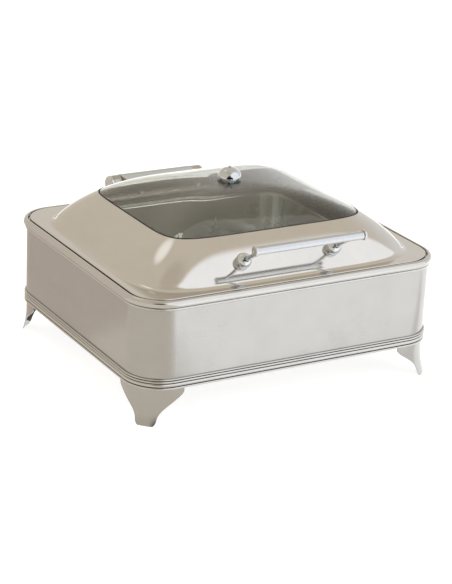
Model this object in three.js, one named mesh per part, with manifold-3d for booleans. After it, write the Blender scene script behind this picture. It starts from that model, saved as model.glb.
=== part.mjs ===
// Square roll top chafer: skirted stand with four bracket feet, water and food pans,
// burner rail, and a domed lid with a glass window on a sprung rear hinge.
// Millimetres, +Z up, the handle faces -Y, the origin is under the middle of the footprint.
import * as THREE from 'three';
import Module from 'manifold-3d';
import { mergeVertices } from 'three/addons/utils/BufferGeometryUtils.js';

const wasm = await Module();
wasm.setup();

// ---- Driving dimensions ----------------------------------------------------
const GAP = 0.3;

const BODY = { halfX: 225, halfY: 196, corner: 48.5, wall: 1.2, bottom: 50, top: 156.7 };
const HEM_WIDTH = 14;
const HEM_THICK = 1.2;

// A fine bead under a broad rolled edge; offsets are from the wall face.
const RIM = {
  bottom: 157, top: 170.6, inner: -1.5, overhang: 4.5,
  beadRadius: 1.6, beadOffset: 0.8, rollBottom: 160.2, softness: 0.6,
};

const MOULDING_TOP = 64.8;
const MOULDING_RIBS = [3, 3.7, 5.3, 3.6];
const MOULDING_PROUD = 2.6;
const MOULDING_GROOVE = 0.7;
const GROOVE_HALF = 0.35;

const DECK = { outer: -1.8, top: 166.7, thick: 1.2, lipBottom: 150 };
const DECK_HOLE = { halfX: 172.5, halfY: 158, corner: 30 };

// Everything under the lid is centred a little to the front, like the dome.
const PAN_Y = -4.2;
const WATER_PAN = {
  floor: 95, thick: 1.2, flangeX: 186, flangeY: 166, flangeCorner: 40, flangeThick: 1,
  wallX: 171.2, wallY: 156.7, corner: 28, taper: 3.2, floorRadius: 6,
};
const FOOD_PAN = {
  floor: 107, thick: 1.2, rimX: 177, rimY: 162.5, rimCorner: 43, ledge: 1.5, rimHeight: 4.8,
  wallX: 165, wallY: 150.5, corner: 36, taper: 5, floorRadius: 6.5,
};

// Widths are measured along the sheet, either way from the corner's middle line.
const FOOT = {
  thick: 1.8, topHalf: 51, shoulder: 45, tipHalf: 13.4, tipStart: 4, curve: 2.2,
  tipRound: 7, tipRounding: 4, inset: 0.4, flare: 6, flareHeight: 36,
};
const FOOT_TOP = BODY.bottom - GAP;
const FOOT_TAB = 12;

const RAIL = { halfX: 220, halfY: 55, thick: 1.5, edge: 3 };
const CUP = { x: 95, radius: 39.5, wall: 1.2, floor: 22, flange: 52, hole: 40.3 };
const PIVOT_REACH = 46;
const SNUFFER = { radius: 42, thick: 1.2, ear: 6 };

const DOME = { halfX: 206.7, halfY: 176.7, y: PAN_Y, base: 168, rise: 83.3 };
const DOME_SQUARENESS = 6.4;
const WINDOW_SHIFT = 3;
const SHIFT_START = 0.9;
const DOME_CROWN = 2.5;
const DOME_SHOULDER = 1 / 1.2;
const LID_THICK = 1.4;
const LID_DROP = 1.9;
const LID_FLANGE = { inset: 2.6, corner: 46, top: 171, bottom: 167, thick: 1 };
const COVE_RADIUS = 11;
const COVE_START = 0.968;
const WINDOW_EDGE = 0.7225;
const GASKET_EDGE = 0.7245;
const GASKET_OUTER = 0.7275;
const LID_EDGE = 0.7295;
const GLASS_THICK = 4;

const VENT = { radius: 16.3, height: 13, seatRadius: 13, seatThick: 2.6, stud: 3.5, hole: 5 };

const HANDLE = { ballX: 68, ballY: -166, ballZ: 197, ballRadius: 10.5, postRadius: 3 };
const BAR = { y: -215.2, z: 228.3, radius: 5.6, half: 83, capRadius: 6.9, capThick: 3.6 };

// The barrel reaches as far back as the handle reaches forward.
const BARREL_RADIUS = 13;
const HINGE = {
  y: BAR.capRadius - BAR.y - BARREL_RADIUS,
  z: 187,
  barrel: BARREL_RADIUS,
  shaft: 5,
  bore: 9.2,
  leafHalf: 57.2,
};
const BRACKET = { inner: 57.5, outer: 70, ring: 12.5 };
const HINGE_CAP = 5.2;
const LEAF_RIVET_X = 46;
const LEAF_RIVET_Y = 160.5;
const LEAF_THICK = 2.4;

const CORNER_STEPS = 6;
const DOME_STATIONS = 40;

// ---- Materials ---------------------------------------------------------------
function finish(color, roughness, metalness, extra = {}) {
  return new THREE.MeshStandardMaterial({ color, roughness, metalness, ...extra });
}
const polished = () => finish(0xcfccc6, 0.12, 1);
const brushed = () => finish(0xb9b7b1, 0.35, 1);
const chrome = () => finish(0xe2e4e6, 0.05, 1);
const satin = () => finish(0xc9ced6, 0.28, 1);
const springSteel = () => finish(0x6d6d6b, 0.4, 1);
const rubber = () => finish(0x161616, 0.7, 0);
const nylon = () => finish(0xd9d6cc, 0.55, 0);
const glass = () => finish(0xc4ccc8, 0.04, 0, { transparent: true, opacity: 0.35 });

// ---- Assembly ------------------------------------------------------------------
const group = new THREE.Group();
group.name = 'roll_top_chafer';

function place(name, geometry, material) {
  const mesh = new THREE.Mesh(geometry, material);
  mesh.name = name;
  group.add(mesh);
}

// The same piece on the right (+X) and on the left, as a mirror image.
function placePair(name, geometry, material) {
  place(`${name}_right`, geometry, material());
  place(`${name}_left`, mirrored(geometry, -1, 1), material());
}

// ---- Mesh helpers --------------------------------------------------------------
function geometryFrom(points, triangles) {
  const geometry = new THREE.BufferGeometry();
  geometry.setAttribute('position', new THREE.Float32BufferAttribute(points.flat(), 3));
  geometry.setIndex(triangles);
  return geometry;
}

function signedVolume(points, triangles) {
  let volume = 0;
  for (let i = 0; i < triangles.length; i += 3) {
    const [a, b, c] = [0, 1, 2].map((k) => new THREE.Vector3(...points[triangles[i + k]]));
    volume += a.dot(b.cross(c));
  }
  return volume;
}

function outwardFacing(points, triangles) {
  if (signedVolume(points, triangles) < 0) {
    for (let i = 0; i < triangles.length; i += 3) {
      [triangles[i], triangles[i + 1]] = [triangles[i + 1], triangles[i]];
    }
  }
  return geometryFrom(points, triangles);
}

// Rows of points, each row a closed loop round the object.
// A ring closes last row to first; otherwise both ends are capped with a fan.
function skin(rows, isRing) {
  const count = rows[0].length;
  const points = rows.flat();
  const triangles = [];
  const spans = isRing ? rows.length : rows.length - 1;
  for (let r = 0; r < spans; r += 1) {
    const next = (r + 1) % rows.length;
    for (let j = 0; j < count; j += 1) {
      const k = (j + 1) % count;
      const [a, b, c, d] = [r * count + j, r * count + k, next * count + k, next * count + j];
      triangles.push(a, b, c, a, c, d);
    }
  }
  if (!isRing) {
    capRow(points, triangles, rows[0], 0, true);
    capRow(points, triangles, rows.at(-1), (rows.length - 1) * count, false);
  }
  return outwardFacing(points, triangles);
}

function capRow(points, triangles, row, first, reversed) {
  const centre = [0, 1, 2].map((axis) => row.reduce((sum, p) => sum + p[axis], 0) / row.length);
  const hub = points.push(centre) - 1;
  for (let j = 0; j < row.length; j += 1) {
    const k = (j + 1) % row.length;
    triangles.push(...(reversed ? [hub, first + k, first + j] : [hub, first + j, first + k]));
  }
}

// Two matching grids of points, an outer and an inner face, closed round the edges.
function thickSheet(outer, inner) {
  const rows = outer.length;
  const columns = outer[0].length;
  const points = [...outer.flat(), ...inner.flat()];
  const at = (side, r, c) => side * rows * columns + r * columns + c;
  const triangles = [];
  const quad = (a, b, c, d) => triangles.push(a, b, c, a, c, d);
  for (let r = 0; r < rows - 1; r += 1) {
    for (let c = 0; c < columns - 1; c += 1) {
      quad(at(0, r, c), at(0, r, c + 1), at(0, r + 1, c + 1), at(0, r + 1, c));
      quad(at(1, r, c), at(1, r + 1, c), at(1, r + 1, c + 1), at(1, r, c + 1));
    }
    quad(at(0, r, 0), at(0, r + 1, 0), at(1, r + 1, 0), at(1, r, 0));
    const last = columns - 1;
    quad(at(0, r + 1, last), at(0, r, last), at(1, r, last), at(1, r + 1, last));
  }
  for (let c = 0; c < columns - 1; c += 1) {
    quad(at(0, 0, c + 1), at(0, 0, c), at(1, 0, c), at(1, 0, c + 1));
    const top = rows - 1;
    quad(at(0, top, c), at(0, top, c + 1), at(1, top, c + 1), at(1, top, c));
  }
  return outwardFacing(points, triangles);
}

function mirrored(geometry, signX, signY) {
  const copy = geometry.clone();
  copy.scale(signX, signY, 1);
  if (signX * signY < 0) {
    const index = copy.getIndex();
    for (let i = 0; i < index.count; i += 3) {
      const first = index.getX(i);
      index.setX(i, index.getX(i + 1));
      index.setX(i + 1, first);
    }
  }
  return copy;
}

// ---- Booleans --------------------------------------------------------------------
function bare(geometry) {
  const copy = geometry.clone();
  for (const name of Object.keys(copy.attributes)) {
    if (name !== 'position') copy.deleteAttribute(name);
  }
  return mergeVertices(copy, 1e-4);
}

function toManifold(geometry) {
  const merged = bare(geometry);
  return new wasm.Manifold(new wasm.Mesh({
    numProp: 3,
    vertProperties: new Float32Array(merged.getAttribute('position').array),
    triVerts: new Uint32Array(merged.getIndex().array),
  }));
}

function fromManifold(solid) {
  const mesh = solid.getMesh();
  const geometry = new THREE.BufferGeometry();
  geometry.setAttribute('position', new THREE.BufferAttribute(mesh.vertProperties, 3));
  geometry.setIndex(new THREE.BufferAttribute(mesh.triVerts, 1));
  return geometry;
}

function joined(first, ...others) {
  const solid = others.reduce((sum, other) => sum.add(toManifold(other)), toManifold(first));
  return fromManifold(solid);
}

function cut(first, ...tools) {
  const solid = tools.reduce((rest, tool) => rest.subtract(toManifold(tool)), toManifold(first));
  return fromManifold(solid);
}

// ---- Basic shapes -----------------------------------------------------------------
// Lathe round Z: pairs of radius and height that start and end on the axis.
function turned(profile, segments) {
  return bare(new THREE.LatheGeometry(profile.map(([r, z]) => new THREE.Vector2(r, z)), segments))
    .rotateX(Math.PI / 2);
}

function ringTurned(profile, segments) {
  return turned([...profile, profile[0]], segments);
}

// A six-sided nut along Z; both radii are measured to the flats.
function hexNut(bore, flats, bottom, top) {
  const toCorner = 1 / Math.cos(Math.PI / 6);
  const [inner, outer] = [bore * toCorner, flats * toCorner];
  return ringTurned([[inner, bottom], [outer, bottom], [outer, top], [inner, top]], 6);
}

function rod(radius, from, to, segments = 20) {
  const start = new THREE.Vector3(...from);
  const along = new THREE.Vector3(...to).sub(start);
  const length = along.length();
  const shape = turned([[0, 0], [radius, 0], [radius, length], [0, length]], segments);
  return pointed(shape, start, along.normalize());
}

// Turns a shape made along +Z to point along a direction, and moves it to a start point.
function pointed(shape, start, direction) {
  const turn = new THREE.Quaternion().setFromUnitVectors(new THREE.Vector3(0, 0, 1), direction);
  return shape.applyQuaternion(turn).translate(start.x, start.y, start.z);
}

// A side view given as [y, z] points, made solid between two X positions.
function sideProfile(points, fromX, toX) {
  const shape = new THREE.Shape(points.map(([y, z]) => new THREE.Vector2(y, z)));
  const solid = new THREE.ExtrudeGeometry(shape, { depth: toX - fromX, bevelEnabled: false });
  solid.rotateY(Math.PI / 2).rotateX(Math.PI / 2).translate(fromX, 0, 0);
  return bare(solid);
}

function arc(centreA, centreB, radiusA, radiusB, fromDegrees, toDegrees, steps) {
  return Array.from({ length: steps + 1 }, (_, i) => {
    const angle = THREE.MathUtils.degToRad(fromDegrees + (toDegrees - fromDegrees) * i / steps);
    return [centreA + radiusA * Math.cos(angle), centreB + radiusB * Math.sin(angle)];
  });
}

// ---- Rounded rectangles ---------------------------------------------------------------
function roundedRectangle(halfX, halfY, corner, centreY, z) {
  const quadrants = [[1, 1, 0], [-1, 1, 90], [-1, -1, 180], [1, -1, 270]];
  return quadrants.flatMap(([signX, signY, start]) => arc(
    signX * (halfX - corner), centreY + signY * (halfY - corner),
    corner, corner, start, start + 90, CORNER_STEPS,
  ).map(([x, y]) => [x, y, z]));
}

function bodyOutline(offset, z) {
  return roundedRectangle(
    BODY.halfX + offset, BODY.halfY + offset, BODY.corner + offset, 0, z);
}

// A section of [offset from the wall face, z] points swept round the body.
function roundBody(section) {
  return skin(section.map(([offset, z]) => bodyOutline(offset, z)), true);
}

// ---- Dome ------------------------------------------------------------------------------
// Height of the lid's outer surface: level is 0 at the crown and 1 at the foot of the dome.
function domeHeight(level) {
  const drop = Math.max(0, 1 - level ** DOME_CROWN);
  return DOME.base + DOME.rise * drop ** DOME_SHOULDER;
}

function domeLevel(y) {
  return Math.abs(y - DOME.y) / DOME.halfY;
}

// Directions round the dome, crowded into the corners where the outline turns fastest.
const domeDirections = Array.from({ length: DOME_STATIONS }, (_, i) => {
  const angle = 2 * Math.PI * (i + 0.5) / DOME_STATIONS;
  const power = 2 / DOME_SQUARENESS;
  const [c, s] = [Math.cos(angle), Math.sin(angle)];
  return [Math.sign(c) * Math.abs(c) ** power, Math.sign(s) * Math.abs(s) ** power];
});

// The window sits a little behind the dome's middle, so the rows drift back on the way up.
function rowShift(level) {
  const share = (SHIFT_START - level) / (SHIFT_START - LID_EDGE);
  return WINDOW_SHIFT * THREE.MathUtils.clamp(share, 0, 1);
}

function domeRow(level, lift = 0) {
  const shift = rowShift(level);
  return domeDirections.map(([x, y]) => {
    const [alongX, alongY] = [level * x, level * y + shift / DOME.halfY];
    const power = DOME_SQUARENESS;
    const trueLevel = (Math.abs(alongX) ** power + Math.abs(alongY) ** power) ** (1 / power);
    return [
      DOME.halfX * alongX,
      DOME.y + DOME.halfY * alongY,
      domeHeight(trueLevel) + lift,
    ];
  });
}

// The dome's foot pushed outward by a fixed distance.
function footRow(distance, z) {
  return domeDirections.map(([x, y]) => {
    const normal = new THREE.Vector2(
      Math.sign(x) * Math.abs(x) ** (DOME_SQUARENESS - 1) / DOME.halfX,
      Math.sign(y) * Math.abs(y) ** (DOME_SQUARENESS - 1) / DOME.halfY,
    ).normalize();
    return [
      DOME.halfX * COVE_START * x + distance * normal.x,
      DOME.y + DOME.halfY * COVE_START * y + distance * normal.y,
      z,
    ];
  });
}

// The lid's outer edge, met along the same directions from the dome's centre.
function flangeRow(inset, z) {
  const halfX = BODY.halfX - LID_FLANGE.inset - inset;
  const halfY = BODY.halfY - LID_FLANGE.inset - inset;
  const corner = LID_FLANGE.corner - inset;
  const isInside = (x, y) => {
    const overX = Math.max(0, Math.abs(x) - (halfX - corner));
    const overY = Math.max(0, Math.abs(y) - (halfY - corner));
    return Math.hypot(overX, overY) < corner;
  };
  return domeDirections.map(([x, y]) => {
    let [near, far] = [0, 2];
    for (let i = 0; i < 40; i += 1) {
      const middle = (near + far) / 2;
      const inside = isInside(DOME.halfX * x * middle, DOME.y + DOME.halfY * y * middle);
      [near, far] = inside ? [middle, far] : [near, middle];
    }
    return [DOME.halfX * x * near, DOME.y + DOME.halfY * y * near, z];
  });
}

// A point of the dome's centre line (x near 0) and the surface's outward direction there.
function domeSide(y) {
  const step = 0.1;
  const rise = domeHeight(domeLevel(y + step)) - domeHeight(domeLevel(y - step));
  const normal = new THREE.Vector2(-rise, 2 * step).normalize();
  return { y, z: domeHeight(domeLevel(y)), normalY: normal.x, normalZ: normal.y };
}

function domeOffset(y, distance) {
  const side = domeSide(y);
  return [side.y + side.normalY * distance, side.z + side.normalZ * distance];
}

// ---- Body and stand --------------------------------------------------------------------
const footCorner = new THREE.Vector2(BODY.halfX - BODY.corner, BODY.halfY - BODY.corner);
const footScrewReach = (BODY.corner - 8) * Math.SQRT1_2;
const footScrewSpot = [footCorner.x + footScrewReach, footCorner.y + footScrewReach];

function inEachCorner(build) {
  return [[1, 1], [-1, 1], [-1, -1], [1, -1]].map(([x, y]) => mirrored(build(), x, y));
}

function bodySkirt() {
  const inner = -BODY.wall;
  const hemTop = BODY.bottom + HEM_THICK;
  const wall = roundBody([
    [0, BODY.bottom], [0, BODY.top], [inner, BODY.top],
    [inner, hemTop], [-HEM_WIDTH, hemTop], [-HEM_WIDTH, BODY.bottom],
  ]);
  const footHoles = inEachCorner(() => rod(2.4, [...footScrewSpot, 45], [...footScrewSpot, 55], 10));
  const bracketHoles = bracketScrewHeights.flatMap((z) => [-1, 1].map((side) => rod(
    2.4, [side * bracketScrewX, BODY.halfY - 5, z], [side * bracketScrewX, BODY.halfY + 5, z], 10)));
  return cut(wall, ...footHoles, ...bracketHoles);
}

function topRim() {
  const { bottom, top, inner, overhang, beadRadius, beadOffset, rollBottom, softness } = RIM;
  const rollMiddle = (top + rollBottom) / 2;
  return roundBody([
    [inner, bottom],
    ...arc(beadOffset, bottom + beadRadius, beadRadius, beadRadius, -90, 78, 4),
    ...arc(0, rollMiddle, overhang, top - rollMiddle, -82, 90, 8),
    [inner + softness, top],
    [inner, top - softness],
  ]);
}

function baseMoulding() {
  let top = MOULDING_TOP;
  const outer = MOULDING_RIBS.flatMap((height) => {
    const rib = arc(
      MOULDING_GROOVE, top - height / 2,
      MOULDING_PROUD - MOULDING_GROOVE, height / 2 - GROOVE_HALF, 90, -90, 3);
    top -= height;
    return rib;
  });
  return roundBody([[GAP, MOULDING_TOP - GROOVE_HALF], ...outer, [GAP, top + GROOVE_HALF]]);
}

function deckFrame() {
  const { outer, top, thick, lipBottom } = DECK;
  const { halfX, halfY, corner } = DECK_HOLE;
  return skin([
    bodyOutline(outer, top),
    roundedRectangle(halfX, halfY, corner, PAN_Y, top),
    roundedRectangle(halfX, halfY, corner, PAN_Y, top - thick),
    bodyOutline(outer - thick, top - thick),
    bodyOutline(outer - thick, lipBottom),
    bodyOutline(outer, lipBottom),
  ], true);
}

// One bracket foot for the right rear corner: wide wings that narrow to a rounded, flared tip.
function foot() {
  const heights = [0, 1.2, 3, FOOT.tipRound, 12, 18, 24, 30, 35, 40, FOOT.shoulder, FOOT_TOP];
  const columns = 13;
  const halfArc = BODY.corner * Math.PI / 4;
  const around = (along, offset) => {
    const turn = THREE.MathUtils.clamp(along, -halfArc, halfArc) / BODY.corner + Math.PI / 4;
    const straight = along - THREE.MathUtils.clamp(along, -halfArc, halfArc);
    const radius = BODY.corner + offset;
    return [
      footCorner.x + radius * Math.cos(turn) + Math.min(0, -straight),
      footCorner.y + radius * Math.sin(turn) + Math.min(0, straight),
    ];
  };
  const halfWidth = (z) => {
    const drop = Math.max(0, 1 - z / FOOT.tipRound);
    const climb = THREE.MathUtils.clamp((z - FOOT.tipStart) / (FOOT.shoulder - FOOT.tipStart), 0, 1);
    const widening = Math.sin(Math.PI / 2 * climb ** FOOT.curve);
    return THREE.MathUtils.lerp(FOOT.tipHalf, FOOT.topHalf, widening)
      - FOOT.tipRounding * drop ** 2;
  };
  const flare = (z) => FOOT.flare * Math.max(0, 1 - z / FOOT.flareHeight) ** 2 - FOOT.inset;
  const row = (z, half, offset) => Array.from({ length: columns }, (_, i) => {
    const along = half * (2 * i / (columns - 1) - 1);
    return [...around(along, offset), z];
  });
  const outer = heights.map((z) => row(z, halfWidth(z), flare(z)));
  const inner = heights.map((z) => row(
    Math.min(z, FOOT_TOP - FOOT.thick), halfWidth(z), flare(z) - FOOT.thick));
  outer.push(row(FOOT_TOP, FOOT.topHalf, -FOOT_TAB));
  inner.push(row(FOOT_TOP - FOOT.thick, FOOT.topHalf, -FOOT_TAB));
  const screwHole = rod(2.4, [...footScrewSpot, FOOT_TOP - 5], [...footScrewSpot, FOOT_TOP + 2], 10);
  return cut(thickSheet(outer, inner), screwHole);
}

function footScrew() {
  const headTop = FOOT_TOP - FOOT.thick - GAP;
  return turned([
    [0, headTop - 2.2], [2.6, headTop - 2.2], [4, headTop - 1], [4, headTop],
    [2, headTop], [2, headTop + 6], [0, headTop + 6],
  ], 10).translate(...footScrewSpot, 0);
}

function placeInCorners(name, geometry, material) {
  place(`${name}_rear_right`, geometry, material());
  place(`${name}_rear_left`, mirrored(geometry, -1, 1), material());
  place(`${name}_front_left`, mirrored(geometry, -1, -1), material());
  place(`${name}_front_right`, mirrored(geometry, 1, -1), material());
}

// ---- Pans -------------------------------------------------------------------------------
function pan(rows) {
  return skin(rows.map(([halfX, halfY, corner, z]) => (
    roundedRectangle(halfX, halfY, corner, PAN_Y, z))), false);
}

function waterPan() {
  const { floor, thick, flangeX, flangeY, flangeCorner, flangeThick } = WATER_PAN;
  const { wallX, wallY, corner, taper, floorRadius } = WATER_PAN;
  const flange = DECK.top + GAP;
  const wall = (inset, z) => [wallX - inset, wallY - inset, corner - inset, z];
  return pan([
    wall(taper + floorRadius, floor),
    wall(taper, floor + 4),
    wall(0, flange),
    [flangeX, flangeY, flangeCorner, flange],
    [flangeX, flangeY, flangeCorner, flange + flangeThick],
    wall(thick, flange + flangeThick),
    wall(taper + thick, floor + 5),
    wall(taper + floorRadius + 0.5, floor + thick),
  ]);
}

function foodPan() {
  const { floor, thick, rimX, rimY, rimCorner, rimHeight } = FOOD_PAN;
  const { wallX, wallY, corner, taper, floorRadius } = FOOD_PAN;
  const ledge = DECK.top + WATER_PAN.flangeThick + 2 * GAP;
  const wall = (inset, z) => [wallX - inset, wallY - inset, corner - inset, z];
  const rim = (inset, z) => [rimX - inset, rimY - inset, rimCorner - inset, ledge + z];
  return pan([
    wall(taper + floorRadius, floor),
    wall(taper, floor + 5),
    wall(0, ledge),
    rim(FOOD_PAN.ledge, 0),
    rim(0, 1.4),
    rim(0, rimHeight - 1.6),
    rim(FOOD_PAN.ledge, rimHeight - 0.2),
    rim(7, rimHeight),
    rim(11, rimHeight - 1.8),
    wall(thick, ledge - 2),
    wall(taper + thick, floor + 6),
    wall(taper + floorRadius + 0.5, floor + thick),
  ]);
}

// ---- Burner rail and fuel holders ----------------------------------------------------------
const railBottom = BODY.bottom + HEM_THICK + GAP;
const railTop = railBottom + RAIL.thick;
const cupTop = railTop + GAP + 1.5;
const coverBottom = cupTop + GAP;

function burnerRail() {
  const { halfX, halfY, thick, edge } = RAIL;
  const channel = sideProfile([
    [-halfY, railBottom], [halfY, railBottom], [halfY, railBottom + edge],
    [halfY - thick, railBottom + edge], [halfY - thick, railTop],
    [thick - halfY, railTop], [thick - halfY, railBottom + edge], [-halfY, railBottom + edge],
  ], -halfX, halfX);
  const holes = [-1, 1].map((side) => rod(
    CUP.hole, [side * CUP.x, 0, railBottom - 1], [side * CUP.x, 0, railTop + 1], 36));
  return cut(channel, ...holes);
}

function fuelHolder() {
  const { radius, wall, floor, flange } = CUP;
  const flangeBottom = railTop + GAP;
  const cup = turned([
    [0, floor], [radius - 3, floor], [radius, floor + 3], [radius, flangeBottom],
    [flange, flangeBottom], [flange, cupTop], [radius - wall, cupTop],
    [radius - wall, floor + 3.4], [radius - wall - 2.4, floor + wall], [0, floor + wall],
  ], 24).translate(CUP.x, 0, 0);
  return cut(cup, rod(2.3, [CUP.x, PIVOT_REACH, cupTop - 4], [CUP.x, PIVOT_REACH, cupTop + 2], 12));
}

function snufferCover() {
  const { radius, thick, ear } = SNUFFER;
  const top = coverBottom + thick;
  const disc = rod(radius, [CUP.x, 0, coverBottom], [CUP.x, 0, top], 36);
  const earDisc = rod(ear, [CUP.x, PIVOT_REACH, coverBottom], [CUP.x, PIVOT_REACH, top], 16);
  const tab = sideProfile([
    [3 - radius, coverBottom], [6 - radius, coverBottom], [6 - radius, coverBottom + 11],
    [4.8 - radius, coverBottom + 11], [4.8 - radius, top], [3 - radius, top],
  ], CUP.x - 8, CUP.x + 8);
  const hole = rod(2.3, [CUP.x, PIVOT_REACH, coverBottom - 1], [CUP.x, PIVOT_REACH, top + 1], 12);
  return cut(joined(disc, earDisc, tab), hole);
}

function snufferPivot() {
  const headBottom = coverBottom + SNUFFER.thick + GAP;
  const shankBottom = railTop + GAP;
  return turned([
    [0, shankBottom], [2, shankBottom], [2, headBottom], [3.8, headBottom],
    [3.8, headBottom + 1], [2.4, headBottom + 2.2], [0, headBottom + 2.2],
  ], 12).translate(CUP.x, PIVOT_REACH, 0);
}

// ---- Rear hinge -----------------------------------------------------------------------------
const bracketScrewX = (BRACKET.inner + BRACKET.outer) / 2;
const bracketScrewHeights = [120, 142];
const bracketFace = 202;

function barrelPiece(outer, inner, fromX, toX, segments = 28) {
  const ring = ringTurned([[inner, fromX], [outer, fromX], [outer, toX], [inner, toX]], segments);
  return pointed(ring, new THREE.Vector3(0, HINGE.y, HINGE.z), new THREE.Vector3(1, 0, 0));
}

function hingeBracket() {
  const { inner, outer, ring } = BRACKET;
  const wallFace = BODY.halfY + GAP;
  const rimClear = BODY.halfY + RIM.overhang + 0.5;
  const arm = sideProfile([
    [wallFace, 110], [wallFace + 3, 108], [bracketFace, 112], [bracketFace, 152],
    [HINGE.y, 159], [HINGE.y + 2, HINGE.z - 8], [rimClear, HINGE.z - 8],
    [rimClear, 156.4], [wallFace, 151.5],
  ], inner, outer);
  const knuckle = rod(ring, [inner, HINGE.y, HINGE.z], [outer, HINGE.y, HINGE.z], 28);
  const bore = rod(
    HINGE.shaft + GAP, [inner - 1, HINGE.y, HINGE.z], [outer + 1, HINGE.y, HINGE.z], 20);
  const holes = bracketScrewHeights.map((z) => rod(
    2.4, [bracketScrewX, BODY.halfY - 2, z], [bracketScrewX, bracketFace + 2, z], 10));
  return cut(joined(arm, knuckle), bore, ...holes);
}

function bracketScrew(z) {
  const seat = bracketFace + GAP;
  const screw = turned([
    [0, 0], [2, 0], [2, 9.5], [4, 9.5], [4, 10.5], [2.6, 11.7], [0, 11.7],
  ], 10);
  return pointed(
    screw, new THREE.Vector3(bracketScrewX, seat - 9.5, z), new THREE.Vector3(0, 1, 0));
}

function hingeCap() {
  const start = BRACKET.outer + GAP;
  const radius = BRACKET.ring;
  const cap = turned([
    [0, 0], [radius, 0], [radius, HINGE_CAP - 2], [radius - 0.8, HINGE_CAP - 0.6],
    [radius - 2.4, HINGE_CAP], [0, HINGE_CAP],
  ], 20);
  return pointed(cap, new THREE.Vector3(start, HINGE.y, HINGE.z), new THREE.Vector3(1, 0, 0));
}

function hingeShaft() {
  return rod(HINGE.shaft, [-BRACKET.outer, HINGE.y, HINGE.z], [BRACKET.outer, HINGE.y, HINGE.z], 20);
}

function hingeBushing() {
  return barrelPiece(HINGE.bore - 0.2, HINGE.shaft + GAP, HINGE.leafHalf - 10, HINGE.leafHalf - 1, 20);
}

class Coil extends THREE.Curve {
  constructor(radius, turns, length) {
    super();
    Object.assign(this, { radius, turns, length });
  }

  getPoint(t, target = new THREE.Vector3()) {
    const angle = 2 * Math.PI * this.turns * t;
    return target.set(
      this.length * (t - 0.5), HINGE.y + this.radius * Math.cos(angle),
      HINGE.z + this.radius * Math.sin(angle));
  }
}

function hingeSpring() {
  const turns = 6;
  const wire = new THREE.Shape(arc(0, 0, 1.1, 1.1, 0, 288, 4).map(([a, b]) => (
    new THREE.Vector2(a, b))));
  return bare(new THREE.ExtrudeGeometry(wire, {
    steps: turns * 10, bevelEnabled: false, extrudePath: new Coil(7.2, turns, 60),
  }));
}

// Moving knuckle with an arm that reaches forward and lies against the back of the dome.
function hingeLeaf() {
  const half = HINGE.leafHalf;
  const padInner = [167, 164, 161, 158, 155, 152].map((y) => domeOffset(y, GAP));
  const padOuter = [155, 158, 161, 164, 167].map((y) => domeOffset(y, GAP + LEAF_THICK));
  const armTop = HINGE.z + HINGE.barrel - 0.5;
  const armBottom = armTop - 4.5;
  const armEnd = HINGE.y - 3;
  const arm = sideProfile([
    ...padInner,
    [152.6, armTop - 1.3], [154.6, armTop], [armEnd, armTop], [armEnd, armBottom],
    [160, armBottom],
    ...padOuter,
  ], -half, half);
  const knuckle = rod(HINGE.barrel, [-half, HINGE.y, HINGE.z], [half, HINGE.y, HINGE.z], 32);
  const bore = rod(
    HINGE.bore, [-half - 1, HINGE.y, HINGE.z], [half + 1, HINGE.y, HINGE.z], 24);
  return cut(joined(arm, knuckle), bore, rivetHole(1), rivetHole(-1));
}

// ---- Fixings through the dome -------------------------------------------------------------
function alongDomeNormal(shape, x, y, distance) {
  const side = domeSide(y);
  const direction = new THREE.Vector3(0, side.normalY, side.normalZ);
  const start = new THREE.Vector3(x, side.y, side.z).addScaledVector(direction, distance);
  return pointed(shape, start, direction);
}

function rivetHole(side) {
  const hole = turned([[0, -6], [2.5, -6], [2.5, 8], [0, 8]], 12);
  return alongDomeNormal(hole, side * LEAF_RIVET_X, LEAF_RIVET_Y, 0);
}

function leafRivet() {
  const outside = 2 * GAP + LEAF_THICK;
  const inside = -LID_THICK - GAP - 0.1;
  const rivet = turned([
    [0, inside - 1.6], [3, inside - 1.6], [5, inside], [2.1, inside], [2.1, outside],
    [4.4, outside], [3.6, outside + 1.4], [1.6, outside + 2.2], [0, outside + 2.2],
  ], 14);
  return alongDomeNormal(rivet, LEAF_RIVET_X, LEAF_RIVET_Y, 0);
}

// ---- Lid ------------------------------------------------------------------------------------
function lidShell() {
  const { top, bottom, thick } = LID_FLANGE;
  const footSide = domeHeight(COVE_START);
  const coveRise = (footSide - top) / 3;
  const levels = [0.945, 0.92, 0.885, 0.84, 0.79, LID_EDGE];
  const rows = [
    flangeRow(0, bottom), flangeRow(0, top - 0.8), flangeRow(0.8, top),
    footRow(COVE_RADIUS * 0.9, top), footRow(COVE_RADIUS * 0.5, top + coveRise * 0.55),
    footRow(COVE_RADIUS * 0.2, top + coveRise * 1.6), domeRow(COVE_START),
    ...levels.map((level) => domeRow(level)),
    ...levels.toReversed().map((level) => domeRow(level, -LID_DROP)),
    footRow(COVE_RADIUS * 0.2 - 0.8, top + coveRise * 1.6 - thick),
    footRow(COVE_RADIUS * 0.5 - 0.4, top + coveRise * 0.55 - thick),
    footRow(COVE_RADIUS * 0.9, top - thick),
    flangeRow(LID_THICK, top - thick), flangeRow(LID_THICK, bottom),
  ];
  const studHoles = [-1, 1].map((side) => alongDomeNormal(
    turned([[0, -8], [3.2, -8], [3.2, 6], [0, 6]], 12), side * HANDLE.ballX, studFootY, 0));
  return cut(skin(rows, true), rivetHole(1), rivetHole(-1), ...studHoles);
}

function windowGasket() {
  const proud = 0.3;
  return skin([
    domeRow(GASKET_OUTER, proud),
    domeRow(GASKET_EDGE, proud),
    domeRow(GASKET_EDGE, -GLASS_THICK),
    domeRow(GASKET_OUTER, -GLASS_THICK),
  ], true);
}

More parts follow.
